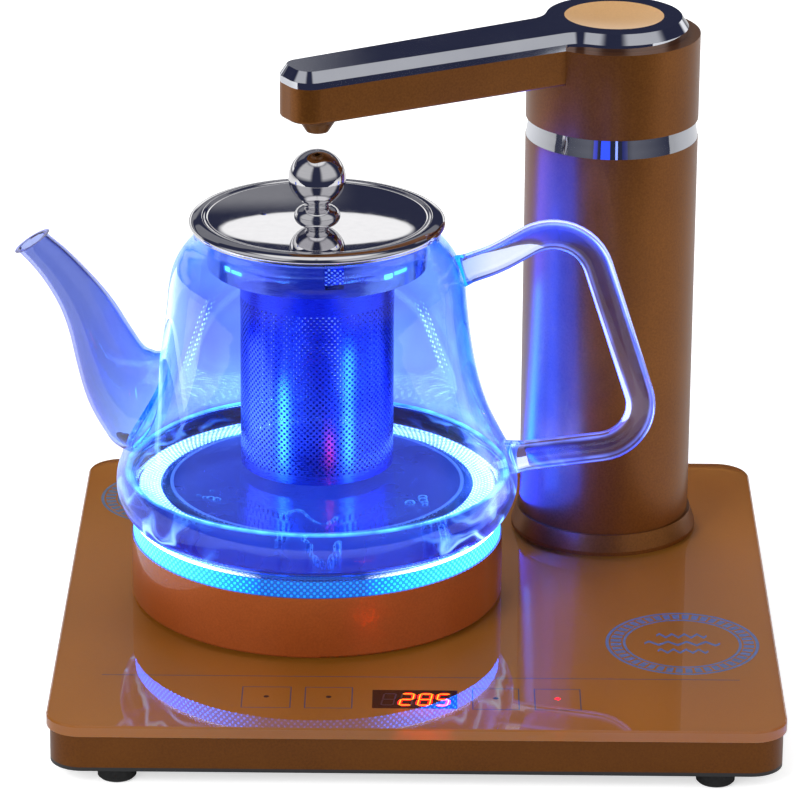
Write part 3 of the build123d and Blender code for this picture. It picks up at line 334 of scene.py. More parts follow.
def lit_water(surface_level):
    """Still water. Its meniscus, the thin curve where it climbs the glass, gathers the light ring's light."""
    made, tree, shader, _ = clear("water", 30, 2.0, ("#d4e4ff", "#e6f0ff"), "#d4e4ff", IOR=1.333)
    _, _, height, _, radius = about_kettle(tree)
    outer = add(tree, "MapRange", radius, 73.2 * MM, 75.4 * MM)
    upper = add(tree, "MapRange", height, (surface_level - 1.3) * MM, (surface_level - 0.3) * MM)
    ripple = add(tree, "MapRange", grain(tree, 9, 2.0), *NOISE, 0.4, 1.6)
    glow = add(tree, "Math.MULTIPLY", outer, upper, ripple, 3.0)
    give(shader, Emission_Color="#58b4ff", Emission_Strength=glow)
    return made


def air_bubble():
    """Air in water, which bends light the other way; its edge gathers the light ring's light."""
    made, tree, shader, noise = clear("air_bubble", 3, 1.0, ("#a8ccff", "#dcecff"), "#dcecff", IOR=0.75)
    edge = add(tree, "MapRange", add(tree, "LayerWeight", 0.5, out="Facing"), 0.45, 0.8, 0, 1.6)
    uneven = add(tree, "MapRange", noise, *NOISE, 0.4, 1.4)
    give(shader, Emission_Color="#78ccff", Emission_Strength=add(tree, "Math.MULTIPLY", edge, uneven))
    return made


gold = lacquered("gold_lacquer", "#724216", "#8f5820", 0.75, 0.12, 0.2)  # warm brown gold
# The tray frame has the same gold lacquer; this copy is darker as painted shade.
gold_shaded = lacquered("gold_lacquer_frame", "#5a3008", "#70400c", 0.7, 0.03, 0.2)  # darker, nearly matt
gold_gloss = lacquered("gold_lacquer_gloss", "#a85424", "#c0642c", 0.6, 0.7, 0.02)  # coppery, wet gloss
gold_foil = lacquered("gold_foil", "#e2ab6c", "#f2c184", 0.2, 0.3, 0.2)  # pale, hardly metallic
chrome = surface(  # chromium plate on ABS: a hard blue-white mirror, very slightly uneven
    "chromium_plate", "#d5d8e2", "#e9ebf1", 25, (0.03, 0.06), 0.01, Metallic=1.0
)
mirror_steel = brushed("mirror_stainless", "#e8e7ea", "#f4f3f5", (0.012, 0.025))  # sharp mirror
bright_steel = brushed("polished_stainless", "#cfcdca", "#e4e2df", (0.12, 0.2))  # slightly blurred mirror
blue_lit_steel = brushed("perforated_stainless", "#5468d8", "#7084ec", (0.24, 0.34))  # as the ring lights it
plate_steel = surface(  # dull and bluish, as the ring lights it
    "satin_stainless", "#8484b4", "#a09cc8", 24, (0.25, 0.34), Metallic=0.7
)
dull_steel = brushed("rolled_steel", "#9c9c9e", "#bdbdbe", (0.28, 0.42))  # grey, unpolished
aluminium = brushed("die_cast_aluminium", "#a9acb0", "#c6c9cc", (0.4, 0.55))  # pale, nearly matt
glass = shaped_glass("borosilicate_glass", ("#8e9efa", "#a8ccff", "#7c80d4"), "#9aa6d8", "#2a80ff", "#2a3ae0")
clear_panel = clear(  # float glass, ground edges
    "tempered_glass", 40, 2.0, ("#fbf6f2", "#fdf9f6"), "#fbf6f2", IOR=1.52
)[0]
ring_plastic = lit_ring()
rubber = surface("moulded_rubber", "#0b0b0c", "#19191a", 1.5, (0.6, 0.8), 0.05)  # matt, slightly grainy
black_abs = surface("black_abs", "#141415", "#202022", 0.9, (0.35, 0.5), 0.03)  # fine spark texture
white_pom = surface("white_pom", "#dddcd7", "#ebebe7", 3, (0.3, 0.4))  # acetal, waxy and smooth
brown_abs = surface("brown_abs", "#5c3612", "#744818", 2, (0.3, 0.42))  # moulded nozzle, satin
silicone = surface(  # soft and milky
    "clear_silicone", "#c9ccc9", "#dedfdc", 4, (0.35, 0.5), Subsurface_Weight=0.2
)
circuit = surface("solder_mask", "#0c4a2a", "#125c36", 1.2, (0.25, 0.35))  # green lacquer on fibreglass
smoked = surface("smoked_acrylic", "#120a0a", "#1d0f0f", 8, (0.08, 0.12))  # display window, dark and glossy
brass = surface("turned_brass", "#a8843c", "#c9a552", 0.7, (0.2, 0.32), Metallic=1.0)  # tool lines, warm
led_lens = surface(  # clear epoxy over a blue die
    "led_lens", "#d8ecff", "#f2faff", 0.6, (0.2, 0.3), Emission_Color="#58b8ff", Emission_Strength=2.0
)


def paint(finish, *nodes):
    """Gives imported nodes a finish."""
    for name in nodes:
        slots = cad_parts[name].data.materials
        for i in range(len(slots)):
            slots[i] = finish


paint(gold_shaded, "tray_frame")
paint(gold, "column_flare", "column_tube", "head_shell", "arm_shell")
paint(gold_gloss, "base_shell")
paint(gold_foil, "head_cap")
paint(clear_panel, "glass_panel")
paint(chrome, "chrome_ring", "arm_trim")
paint(bright_steel, "infuser_collar", "infuser_basket", "lid_shell", "lid_knob")
paint(plate_steel, "heating_plate")
paint(dull_steel, "clamp_ring", "heating_element", "thermostat", "pump_bracket", "pump_motor",
      "pump_shaft", "swivel_clip", "cover_screws", "deck_screws", "base_screws", "arm_screws", "lid_screw")
paint(aluminium, "heat_spreader")
paint(glass, "kettle_glass", "spout", "handle")
paint(ring_plastic, "light_ring")
paint(rubber, "rubber_feet")
paint(black_abs, "bottom_cover", "base_bottom_cover", "coupler_cone", "coupler_socket", "pump_housing",
      "pump_cover", "pump_impeller", "power_components", "touch_pillars", "cord_gland")
paint(white_pom, "swivel_post", "swivel_elbow")
paint(brown_abs, "nozzle")
paint(silicone, "plate_seal", "swivel_seal", "arm_hose", "inlet_hose", "riser_hose")
paint(circuit, "led_board", "touch_board", "power_board")
paint(smoked, "display_module")
paint(brass, "coupler_contacts", "socket_pins", "inlet_barb")
paint(led_lens, "ring_leds")


# ---- Modelling ----
def nothing():
    """Deselects every object."""
    bpy.ops.object.select_all(action="DESELECT")


def alone(piece):
    """Selects one object only."""
    nothing()
    piece.select_set(True)
    bpy.context.view_layer.objects.active = piece


def edit(piece):
    """Opens one object in edit mode with all of its mesh selected."""
    alone(piece)
    bpy.ops.object.mode_set(mode="EDIT")
    bpy.ops.mesh.select_all(action="SELECT")


def leave():
    """Back to object mode."""
    bpy.ops.object.mode_set(mode="OBJECT")


def pick_by(faces):
    """Sets whether edit mode selects faces or edges."""
    bpy.context.tool_settings.mesh_select_mode = (False, not faces, faces)


def pick(piece, wanted, faces=True):
    """Opens an object in edit mode with those of its faces, or edges, selected that pass a test."""
    pick_by(faces)
    edit(piece)
    bpy.ops.mesh.select_all(action="DESELECT")
    leave()
    for part in piece.data.polygons if faces else piece.data.edges:
        part.select = wanted(part)
    bpy.ops.object.mode_set(mode="EDIT")


def settle(piece):
    """Moves an object's place, turn and size into its mesh."""
    alone(piece)
    bpy.ops.object.transform_apply(location=True, rotation=True, scale=True)
    return piece


def face_out(piece, merge=True):
    """Merges doubles, if asked, and turns every face outwards."""
    edit(piece)
    if merge:
        bpy.ops.mesh.remove_doubles(threshold=WELD)
    bpy.ops.mesh.normals_make_consistent(inside=False)
    leave()
    return piece


def joined(pieces):
    """Makes several objects one."""
    nothing()
    for piece in pieces:
        piece.select_set(True)
    bpy.context.view_layer.objects.active = pieces[0]
    bpy.ops.object.join()
    return bpy.context.object


def as_mesh(piece):
    """Turns a curve into a mesh of its own."""
    alone(piece)
    bpy.ops.object.convert(target="MESH")
    return bpy.context.object


def apply_all(piece):
    """Applies every modifier in its order."""
    alone(piece)
    for name in [m.name for m in piece.modifiers]:
        bpy.ops.object.modifier_apply(modifier=name)


def keep(piece, name, finish, body, slot, *nodes, angle=35):
    """Names a piece, gives it its finish, and seats it on its body in place of the nodes named."""
    settle(piece)
    piece.name = piece.data.name = name
    piece.data.materials.clear()
    piece.data.materials.append(finish)
    bpy.ops.object.shade_smooth_by_angle(angle=math.radians(angle))
    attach(piece, body)
    if nodes:
        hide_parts(*nodes)
    return piece


def straight(*corners):
    """Straight runs of an outline, from corner to corner."""
    return list(zip(corners, corners[1:]))


def lathe(runs, base, steps=144):
    """Turns an outline round the kettle's axis. Each run is a list of (radius, height over base): two points
    are a straight run, more are a smooth one. Runs that share an end meet in a corner."""
    line = bpy.data.curves.new("outline", "CURVE")
    line.dimensions = "3D"
    line.resolution_u = 6
    for run in runs:
        smooth = len(run) > 2
        spline = line.splines.new("BEZIER" if smooth else "POLY")
        points = spline.bezier_points if smooth else spline.points
        points.add(len(run) - 1)
        for point, (radius, height) in zip(points, run):
            place = (radius * MM, 0, (base + height) * MM)
            if smooth:
                point.co = place
                point.handle_left_type = point.handle_right_type = "AUTO"
            else:
                point.co = (*place, 1)
    piece = as_mesh(link("outline", line))
    edit(piece)
    bpy.ops.mesh.spin(steps=steps, angle=TURN, center=(0, 0, 0), axis=UP)
    leave()
    face_out(piece)
    piece.location = Vector((kettle.x, kettle.y, 0)) * MM
    return settle(piece)


def combine(piece, other, how):
    """Joins, cuts or keeps what two closed pieces share, and deletes the second."""
    cut = piece.modifiers.new(how, "BOOLEAN")
    cut.operation = how
    cut.object = other
    cut.solver = "EXACT"
    apply_all(piece)
    bpy.data.objects.remove(other)
    return piece


# ---- Tray glass: what is printed on its back ----
print_level = level("glass_panel", 0)
seen_deeper = 3.4  # a mark under the glass lies this much further back than where it is seen on top
coat_gap, ink_gap, ink_step, ink_thickness = 0.04, 0.06, 0.03, 0.02
faded_blue = surface("faded_blue_ink", "#64788c", "#7288a0", 3, (0.4, 0.5))  # screen print, slightly uneven
line_ink = surface("line_ink", "#4a4e60", "#565c70", 3, (0.4, 0.5))  # the same ink, slate grey
dark_ink = surface("dark_ink", "#1c1410", "#2a1e18", 2, (0.4, 0.5))  # nearly black
red_light = surface(  # lit diode behind a red filter: deep and bright
    "red_light", "#5a0a04", "#6a0c06", 1, (0.3, 0.4), Emission_Color="#ff0c06", Emission_Strength=8.0
)
amber_light = surface(  # hotter core of a lit bar
    "amber_light", "#6a3004", "#7a3a06", 1, (0.3, 0.4), Emission_Color="#ffb020", Emission_Strength=2.4
)
unlit_segment = surface("unlit_segment", "#3a2a2c", "#463438", 1, (0.3, 0.4))  # barely shows


def bronze_print():
    """Bronze colour coat, screen printed: dull, with fine pigment and slow drifts of tone."""
    coat, tree, shader = start("bronze_print", Metallic=0.5)
    fine, broad = grain(tree, 0.7, 2.0), grain(tree, 90, 1.0)
    both = add(tree, "Math.ADD", add(tree, "MapRange", fine, *NOISE, 0, 0.5),
               add(tree, "MapRange", broad, *NOISE, 0, 0.5))
    give(shader, Base_Color=add(tree, "Mix.RGBA", both, "#c4802a", "#cb8831"))
    give(shader, Roughness=add(tree, "MapRange", fine, *NOISE, 0.40, 0.46))
    return coat


def printed_back():
    """Colour coat on the back of the glass: the glass node's own underside, holes and all."""
    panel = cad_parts["glass_panel"]
    piece = link("panel_print", panel.data.copy())
    edit(piece)
    bpy.ops.mesh.remove_doubles(threshold=WELD)
    leave()
    pick(piece, lambda face: face.normal.z > -0.99)
    bpy.ops.mesh.delete(type="FACE")
    bpy.ops.mesh.select_all(action="SELECT")
    bpy.ops.mesh.flip_normals()
    bpy.ops.transform.translate(value=(0, 0, coat_gap * MM))
    leave()
    keep(piece, "panel_print", bronze_print(), "tray", "panel_glass")


def flat_mark(name, outlines, finish, layer=1):
    """Thin inked shapes as one piece. An outline's points are measured from the tray's middle line and its
    front edge, as seen through the glass."""
    height = print_level + ink_gap + ink_step * layer
    shapes = []
    for outline in outlines:
        nothing()
        bpy.ops.mesh.primitive_circle_add(vertices=len(outline), radius=1, fill_type="NGON")
        shapes.append(bpy.context.object)
        for vertex, (x, y) in zip(shapes[-1].data.vertices, outline):
            vertex.co = Vector((tray.x + x, front_edge + y + seen_deeper, height)) * MM
    piece = face_out(joined(shapes), merge=False)
    ink = piece.modifiers.new("ink", "SOLIDIFY")
    ink.thickness = ink_thickness * MM
    apply_all(piece)
    keep(piece, name, finish, "tray", "panel_glass")


def oblong(left, right, low, high):
    """Outline of an upright rectangle."""
    return [(left, low), (right, low), (right, high), (left, high)]


def box_sides(left, right, low, high, line):
    """The four sides of a boxed key, as thin bars."""
    return [
        oblong(left, right, low, low + line),
        oblong(left, right, high - line, high),
        oblong(left, left + line, low + line, high - line),
        oblong(right - line, right, low + line, high - line),
    ]


def ring_pieces(x, y, outer, inner, count, share):
    """Arcs of a ring: share is how much of each pitch is inked."""
    parts = []
    steps = 3 if count > 30 else 6
    for i in range(count):
        begin, end = i / count * TURN, (i + share) / count * TURN
        angles = [begin + (end - begin) * k / steps for k in range(steps + 1)]
        far = [(x + outer * math.cos(a), y + outer * math.sin(a)) for a in angles]
        close = [(x + inner * math.cos(a), y + inner * math.sin(a)) for a in reversed(angles)]
        parts.append(far + close)
    return parts


def emblem(name, x, y, size):
    """A plain round mark: two rings, a band of dashes between them and three wave lines in the middle."""
    line, swing, row_pitch, wave_steps = 1.0, 1.7, 7.5, 16
    parts = ring_pieces(x, y, size, size - 1.3, 24, 1.0)
    parts += ring_pieces(x, y, size - 2.0, size - 6.2, 44, 0.72)
    parts += ring_pieces(x, y, size - 6.9, size - 8.0, 24, 1.0)
    for row, half in ((-1, 10.0), (0, 15.0), (1, 10.0)):
        wave = [(x + half * (2 * k / wave_steps - 1), y + row * row_pitch + swing * math.sin(k * TURN / 4))
                for k in range(wave_steps + 1)]
        for (x0, y0), (x1, y1) in zip(wave, wave[1:]):
            parts.append([(x0, y0 - line), (x1, y1 - line), (x1, y1 + line), (x0, y0 + line)])
    flat_mark(name, parts, faded_blue)


segments = {  # where each bar of a digit begins and ends: across and up, in shares of its size
    "a": (0, 1, 1, 1), "b": (1, 0.5, 1, 1), "c": (1, 0, 1, 0.5), "d": (0, 0, 1, 0),
    "e": (0, 0, 0, 0.5), "f": (0, 0.5, 0, 1), "g": (0, 0.5, 1, 0.5),
}
digit_bars = {"2": "abged", "8": "abcdefg", "5": "afgcd"}
digit_wide, digit_high, digit_foot, digit_lean = 4.6, 10.4, 22.2, 0.12


def bar(x, ends, half):
    """One six-sided bar of a digit, leaning like the rest."""
    x0, y0, x1, y1 = ends
    begin, end = Vector((x0 * digit_wide, y0 * digit_high)), Vector((x1 * digit_wide, y1 * digit_high))
    along = (end - begin).normalized()
    across, tip, short = Vector((-along.y, along.x)) * half, along * half, along * half * 0.35
    begin, end = begin + short, end - short
    outline = [begin, begin + tip - across, end - tip - across, end, end - tip + across, begin + tip + across]
    return [(x + p.x + p.y * digit_lean, digit_foot + p.y) for p in outline]


def display():
    """Smoked window with three leaning digits, the first place left dark."""
    flat_mark("display_window", [oblong(-17.2, 15.7, 19.0, 36.1)], smoked)
    lit_half, dark_half, core_half = 0.75, 0.3, 0.225
    lit, core, dark = [], [], []
    for x, digit in zip((-13.8, -6.8, 0.2, 7.2), " 285"):
        for name, ends in segments.items():
            if name in digit_bars.get(digit, ""):
                lit.append(bar(x, ends, lit_half))
                core.append(bar(x, ends, core_half))
            else:
                dark.append(bar(x, ends, dark_half))
    flat_mark("digit_edges", lit, red_light, 2)
    flat_mark("digit_cores", core, amber_light, 3)
    flat_mark("dark_segments", dark, unlit_segment, 2)


def keys():
    """Four boxed touch keys with a dot each, and the long fine line behind them."""
    low, high, line, dot_level, dot_size = 18.6, 38.3, 0.45, 29.2, 1.1
    sides = ((-67.8, -48.6), (-43.4, -24.8), (21.4, 39.7), (45.4, 63.5))
    boxes = [edge for left, right in sides for edge in box_sides(left, right, low, high, line)]
    boxes.append(oblong(-123, 126, 48.1, 48.55))
    flat_mark("key_lines", boxes, line_ink)
    round_dot = [(math.cos(TURN * k / 16), math.sin(TURN * k / 16)) for k in range(16)]
    *dark, lit = [(left + right) / 2 for left, right in sides]
    dots = [[(x + a * dot_size, dot_level + b * dot_size) for a, b in round_dot] for x in dark]
    flat_mark("key_dots", dots, dark_ink)
    flat_mark("key_light", [[(lit + a, dot_level + b) for a, b in round_dot]], red_light)


printed_back()
display()
keys()
emblem("emblem_right", 105.2, 83.4, 30.5)
emblem("emblem_left", -105.0, 233.0, 30.0)


# ---- Kettle glass: heights are over the tray glass ----
glass_wall = 2.2
ring_gap = 0.25  # the glass foot stands this much over the light ring, so that the two never share a plane
foot_level, foot_radius, foot_bevel = 33.0 + ring_gap, 73.0, 0.4
floor_level, floor_radius = 36.0, 72.2
plate_opening = 60.0
lip_level, lip_radius = 154.9, 48.8
neck_level, neck_bore = mouth - glass_top, 47.4
side = [  # radius and height of the outside, from the foot to the shoulder and the neck
    (76, 35.6), (79.5, 41), (80.8, 48), (78.9, 56), (75.1, 64), (71, 72.5), (67.3, 82), (63.8, 95),
    (61.3, 109), (59.8, 122), (58.7, 131.5), (56.6, 138.7), (53.6, 143.6), (50.8, 147), (49.2, 150.2),
]


def inset(outline, wall):
    """An outline moved towards the axis by a wall, square to its own direction."""
    moved = []
    for i, (radius, height) in enumerate(outline):
        before, after = outline[max(i - 1, 0)], outline[min(i + 1, len(outline) - 1)]
        run = Vector((after[0] - before[0], after[1] - before[1])).normalized()
        moved.append((radius - run.y * wall, height + run.x * wall))
    return moved


def body_outside():
    """Closed shape of the kettle's outside."""
    corner, below_lip = (foot_radius, foot_level + 0.3), (lip_radius, lip_level - 0.7)
    rim = [below_lip, (lip_radius - 0.4, lip_level - 0.1), (lip_radius - 0.9, lip_level)]
    bottom = straight((0, foot_level), (foot_radius - foot_bevel, foot_level), corner)
    top = straight(rim[-1], (0, lip_level))
    return lathe(bottom + [[corner] + side + [below_lip], rim] + top, glass_top)


def body_inside():
    """Closed shape of the space in the kettle, with the round opening for the heating plate."""
    below_foot = 30
    bottom = straight((0, below_foot), (plate_opening, below_foot), (plate_opening, floor_level),
                      (floor_radius, floor_level))
    wall = [(floor_radius, floor_level), (75.2, 37.6), (77.5, 42.0)]
    wall += inset(side[2:] + [(lip_radius, lip_level - 1)], glass_wall)
    top = straight(wall[-1], (neck_bore, neck_level + 0.4), (neck_bore, neck_level + 4), (0, neck_level + 4))
    return lathe(bottom + [wall] + top, glass_top)


spout_rings = [  # reach from the axis, height, radius, lean in degrees: from the mouth to the root
    (113.0, 147.2, 8.1, 32), (112.2, 146.2, 6.7, 34), (104.4, 138.1, 7.4, 42), (96.1, 127.0, 8.9, 37),
    (90.0, 116.2, 10.8, 31), (85.2, 103.8, 13.0, 31), (80.6, 92.2, 15.6, 41), (75.4, 84.6, 18.8, 56),
    (71.9, 81.0, 20.7, 65), (64.0, 78.4, 22.0, 74),
]


def between(rows, share):
    """A smooth value set along rows of numbers: a curve through them all."""
    i = min(int(share), len(rows) - 2)
    t = share - i
    before, here, there, after = (rows[max(0, min(k, len(rows) - 1))] for k in (i - 1, i, i + 1, i + 2))
    return [
        b + t * (c - a) / 2 + t * t * (2 * a - 5 * b + 4 * c - d) / 2 + t ** 3 * (3 * b - a - 3 * c + d) / 2
        for a, b, c, d in zip(before, here, there, after)
    ]


def spout_shape(thinner, further, sides=64):
    """Closed tapered tube through the spout's rings, carried on past its ends by some millimetres."""
    steps = 5  # rings for each one in the list
    rings = [between(spout_rings, k / steps) for k in range((len(spout_rings) - 1) * steps + 1)]
    made = []
    for number, (reach, height, radius, lean) in enumerate(rings):
        out = further[0] if number == 0 else further[1] if number == len(rings) - 1 else 0
        lean = math.radians(lean)
        reach += math.sin(lean) * out
        height += math.cos(lean) * out
        nothing()
        bpy.ops.mesh.primitive_circle_add(
            vertices=sides, radius=(radius - thinner) * MM, rotation=(0, -lean, 0),
            location=Vector((kettle.x - reach, kettle.y, glass_top + height)) * MM,
        )
        made.append(bpy.context.object)
    piece = joined(made)
    pick_by(faces=False)
    edit(piece)
    bpy.ops.mesh.bridge_edge_loops()
    bpy.ops.mesh.select_all(action="DESELECT")
    bpy.ops.mesh.select_non_manifold()
    bpy.ops.mesh.fill_holes(sides=0)
    leave()
    return settle(face_out(piece, merge=False))


handle_route = [(46.0, 132.0), (71.0, 141.3), (104.2, 161.4), (135.5, 64.7), (69.0, 55.6)]  # reach, height
handle_bends = (60.0, 19.0, 18.0)
handle_half = (4.5, 6.0)  # half its thickness and half its width
handle_flare, flare_length = 1.55, 15
oval_pull = 0.68  # how far the handles of the oval's points reach, in shares of its half sizes


def set_knot(point, place, back, onward):
    """Sets a curve point and its two free handles."""
    point.co = place
    point.handle_left_type = point.handle_right_type = "FREE"
    point.handle_left, point.handle_right = place - back, place + onward


def handle_section():
    """The oval that the handle's rod is swept from."""
    section = bpy.data.curves.new("section", "CURVE")
    section.dimensions = "2D"
    section.resolution_u = 8
    oval = section.splines.new("BEZIER")
    oval.bezier_points.add(3)
    oval.use_cyclic_u = True
    for point, (x, y) in zip(oval.bezier_points, ((1, 0), (0, 1), (-1, 0), (0, -1))):
        run = Vector((-y * handle_half[0], x * handle_half[1], 0)) * oval_pull * MM
        set_knot(point, Vector((x * handle_half[0] * MM, y * handle_half[1] * MM, 0)), run, run)
    return link("section", section)


def handle_rod():
    """Closed shape of the handle: a flattened glass rod bent in a loop, with flared ends."""
    line = bpy.data.curves.new("handle", "CURVE")
    line.dimensions = "3D"
    line.resolution_u = 12
    line.bevel_mode = "OBJECT"
    line.bevel_object = handle_section()
    line.use_fill_caps = True
    route = [Vector((kettle.x + r, kettle.y, glass_top + h)) * MM for r, h in handle_route]
    first, last = (route[1] - route[0]).normalized(), (route[-1] - route[-2]).normalized()
    knots = [  # place, direction, reach of the two curve handles, width
        (route[0], first, 0, 0, handle_flare),
        (route[0] + first * flare_length * MM, first, 5 * MM, 3 * MM, 1.0),
    ]
    for before, corner, after, bend in zip(route, route[1:], route[2:], handle_bends):
        go, out = (corner - before).normalized(), (after - corner).normalized()
        angle = go.angle(out)
        back = math.tan(angle / 2) * bend * MM
        pull = 4 / 3 * math.tan(angle / 4) * bend * MM
        knots.append((corner - go * back, go, 3 * MM, pull, 1.0))
        knots.append((corner + out * back, out, pull, 3 * MM, 1.0))
    knots.append((route[-1] - last * flare_length * MM, last, 3 * MM, 5 * MM, 1.0))
    knots.append((route[-1], last, 0, 0, handle_flare))
    spline = line.splines.new("BEZIER")
    spline.bezier_points.add(len(knots) - 1)
    for point, (place, run, left, right, width) in zip(spline.bezier_points, knots):
        set_knot(point, place, run * left, run * right)
        point.radius = width
    section = line.bevel_object
    piece = as_mesh(link("handle", line))
    bpy.data.objects.remove(section)
    return face_out(piece)


def kettle_body():
    """Body, spout and handle, welded into one glass piece."""
    outside = combine(body_outside(), spout_shape(0, (0, 0)), "UNION")
    outside = combine(outside, handle_rod(), "UNION")
    inside = combine(body_inside(), spout_shape(1.4, (0.6, -4)), "UNION")
    shell = combine(outside, inside, "DIFFERENCE")
    keep(shell, "kettle_body", glass, "kettle", "kettle_glass", "kettle_glass", "spout", "handle")


kettle_body()


# ---- Water and bubbles ----
water_level = 54.0  # over the tray glass


def water():
    """The water in the kettle, a hair's breadth from the glass all round."""
    gap, rim = 0.12, 76.9
    sunk, plate = floor_level - 0.2, plate_opening - 0.1  # into the plate, so that no air is between
    wall = [(71.9, floor_level + gap), (75.0, 37.8), (77.3, 42.0), (78.5, 48), (rim, water_level - 1.0)]
    bottom = straight((0, sunk), (plate, sunk), (plate_opening, floor_level + gap), wall[0])
    middle_level = water_level - 0.6
    top = straight(wall[-1], (rim - 0.6, water_level - 0.2), (rim - 2.5, middle_level), (0, middle_level))
    piece = lathe(bottom + [wall] + top, glass_top)
    keep(piece, "water", lit_water(glass_top + water_level), "kettle", "kettle_glass")


def bubbles():
    """Air bubbles on the kettle's floor: small domes strewn in front, larger ones right and left."""
    spots = []  # turn from the front, reach, radius
    for k in range(26):
        reach = 43 + 7 * math.sin(k * 2.4)
        spots.append((-18 + 30 * (k * 0.618 % 1), reach, 0.5 + 0.6 * (k * 0.37 % 1)))
    for count, turn, reach, size, more in ((6, (54, 12), 46, 1.2, 1.3), (5, (-70, 14), 45, 0.9, 1.2)):
        for k in range(count):
            aside = turn[0] + turn[1] * (k * 0.618 % 1)
            spots.append((aside, reach + 8 * (k * 0.41 % 1), size + more * (k * 0.53 % 1)))
    cut = 0.45  # how far under its middle a bubble is cut off, in radii
    nothing()
    bpy.ops.mesh.primitive_uv_sphere_add(segments=20, ring_count=12, radius=MM)
    first = bpy.context.object
    edit(first)
    bpy.ops.mesh.bisect(plane_co=(0, 0, -cut * MM), plane_no=UP, clear_inner=True, use_fill=True)
    leave()
    base = glass_top + floor_level + 0.2
    made = []
    for turn, reach, size in spots:
        dome = link("bubble", first.data.copy())
        dome.scale = (size, size, size)
        dome.location = (Vector((kettle.x, kettle.y, base + cut * size)) + toward(turn) * reach) * MM
        made.append(dome)
    bpy.data.objects.remove(first)
    keep(joined(made), "bubbles", air_bubble(), "kettle", "kettle_glass", angle=60)


water()
bubbles()


# ---- Lid: heights are over the infuser's flange ----
disc_level, disc_radius, disc_dome = 2.9, 43.8, 0.47


def lid():
    """Spun lid: a rolled rim round a slightly domed disc, with a small steam hole beside the knob."""
    wall, under_radius, seat = 0.8, 43.2, 0.1
    arch = [(radius, disc_level + disc_dome * (1 - (radius / disc_radius) ** 2))
            for radius in (0, 7, 14, 21, 28, 35, 40, disc_radius)]
    under = [(radius * under_radius / disc_radius, height - wall) for radius, height in arch]
    rim = [(49.6, seat), (50.6, 0.4), (50.8, 1.4), (50.2, 2.4), (48.4, 3.2), (46.2, 3.5), (45.0, 3.4),
           (44.4, 3.0), (disc_radius, disc_level)]
    edge = straight(under[-1], (under_radius, seat), rim[0])
    piece = lathe([under] + edge + [rim, arch[::-1]], flange_top, steps=192)
    aside, behind, hole = -21.3, 1.1, 1.1
    nothing()
    bpy.ops.mesh.primitive_cylinder_add(
        vertices=32, radius=hole * MM, depth=8 * MM,
        location=Vector((kettle.x + aside, kettle.y + behind, flange_top + disc_level)) * MM,
    )
    combine(piece, bpy.context.object, "DIFFERENCE")
    keep(piece, "lid_disc", mirror_steel, "lid", "polished_steel", "lid_shell")


def knob():
    """Turned ball knob on a narrow neck and a flared foot."""
    foot, centre, ball, neck = disc_level + 0.4, 19.2, 11.4, 4.6
    low = -math.acos(neck / ball)
    steps = 24
    sweep = [(ball * math.cos(a), centre + ball * math.sin(a)) for a in
             [low + (math.pi / 2 - low) * i / steps for i in range(steps + 1)]]
    sweep[-1] = (0, sweep[-1][1])
    flare = [(9.1, foot), (9.0, foot + 1.0), (8.0, foot + 2.7), (6.2, foot + 3.9), (4.9, foot + 4.6)]
    flare.append(sweep[0])
    piece = lathe([[(0, foot), flare[0]], flare, sweep], flange_top)
    keep(piece, "knob_ball", mirror_steel, "lid", "polished_steel", "lid_knob", angle=50)


lid()
knob()


# ---- Infuser basket: heights are over the tray glass ----
def basket():
    """Perforated cup: its real holes are about 0.5 mm wide, drawn as 1.2 mm squares so that they show."""
    radius, columns, wall, web = 30.6, 160, 0.5, 0.12
    low, high, lowest_hole, highest_hole = 56.0, 139.0, 60.0, 127.0
    cell = TURN * radius / columns
    rows = round((high - low) / cell)
    floor_z = (glass_top + low) * MM

    def pierced(face):
        """Every other cell, like the fields of a chess board."""
        turn = math.atan2(face.center.y - kettle.y * MM, face.center.x - kettle.x * MM)
        height = face.center.z / MM - glass_top
        across, up = math.floor(turn / TURN * columns), math.floor((height - low) / cell)
        return (across + up) % 2 == 0 and lowest_hole < height < highest_hole

    def heights(line):
        """The heights of an edge's two ends, the lower one first."""
        return sorted(piece.data.vertices[i].co.z for i in line.vertices)

    nothing()
    bpy.ops.mesh.primitive_cylinder_add(
        vertices=columns, radius=radius * MM, depth=(high - low) * MM, end_fill_type="NOTHING",
        location=(kettle.x * MM, kettle.y * MM, (glass_top + (low + high) / 2) * MM),
    )
    piece = settle(bpy.context.object)
    pick(piece, lambda line: heights(line)[1] - heights(line)[0] > MM, faces=False)
    bpy.ops.mesh.subdivide(number_cuts=rows - 1)
    leave()
    pick(piece, pierced)
    bpy.ops.mesh.inset(thickness=web * MM, use_individual=True)
    bpy.ops.mesh.delete(type="FACE")
    leave()
    pick(piece, lambda line: heights(line)[1] < floor_z + WELD / 10, faces=False)
    centre = (kettle.x * MM, kettle.y * MM, floor_z)
    for inward, down in ((0.985, 0.35), (0.95, 0.25), (0.5, 0), (0.02, 0)):
        bpy.ops.mesh.extrude_edges_move()
        bpy.ops.transform.resize(value=(inward, inward, 1), center_override=centre)
        bpy.ops.transform.translate(value=(0, 0, -down * MM))
    bpy.ops.mesh.edge_face_add()
    leave()
    face_out(piece, merge=False)
    sheet = piece.modifiers.new("wall", "SOLIDIFY")
    sheet.thickness = wall * MM
    sheet.offset = -1
    apply_all(piece)
    keep(piece, "infuser_mesh", blue_lit_steel, "infuser", "polished_steel", "infuser_basket")


basket()


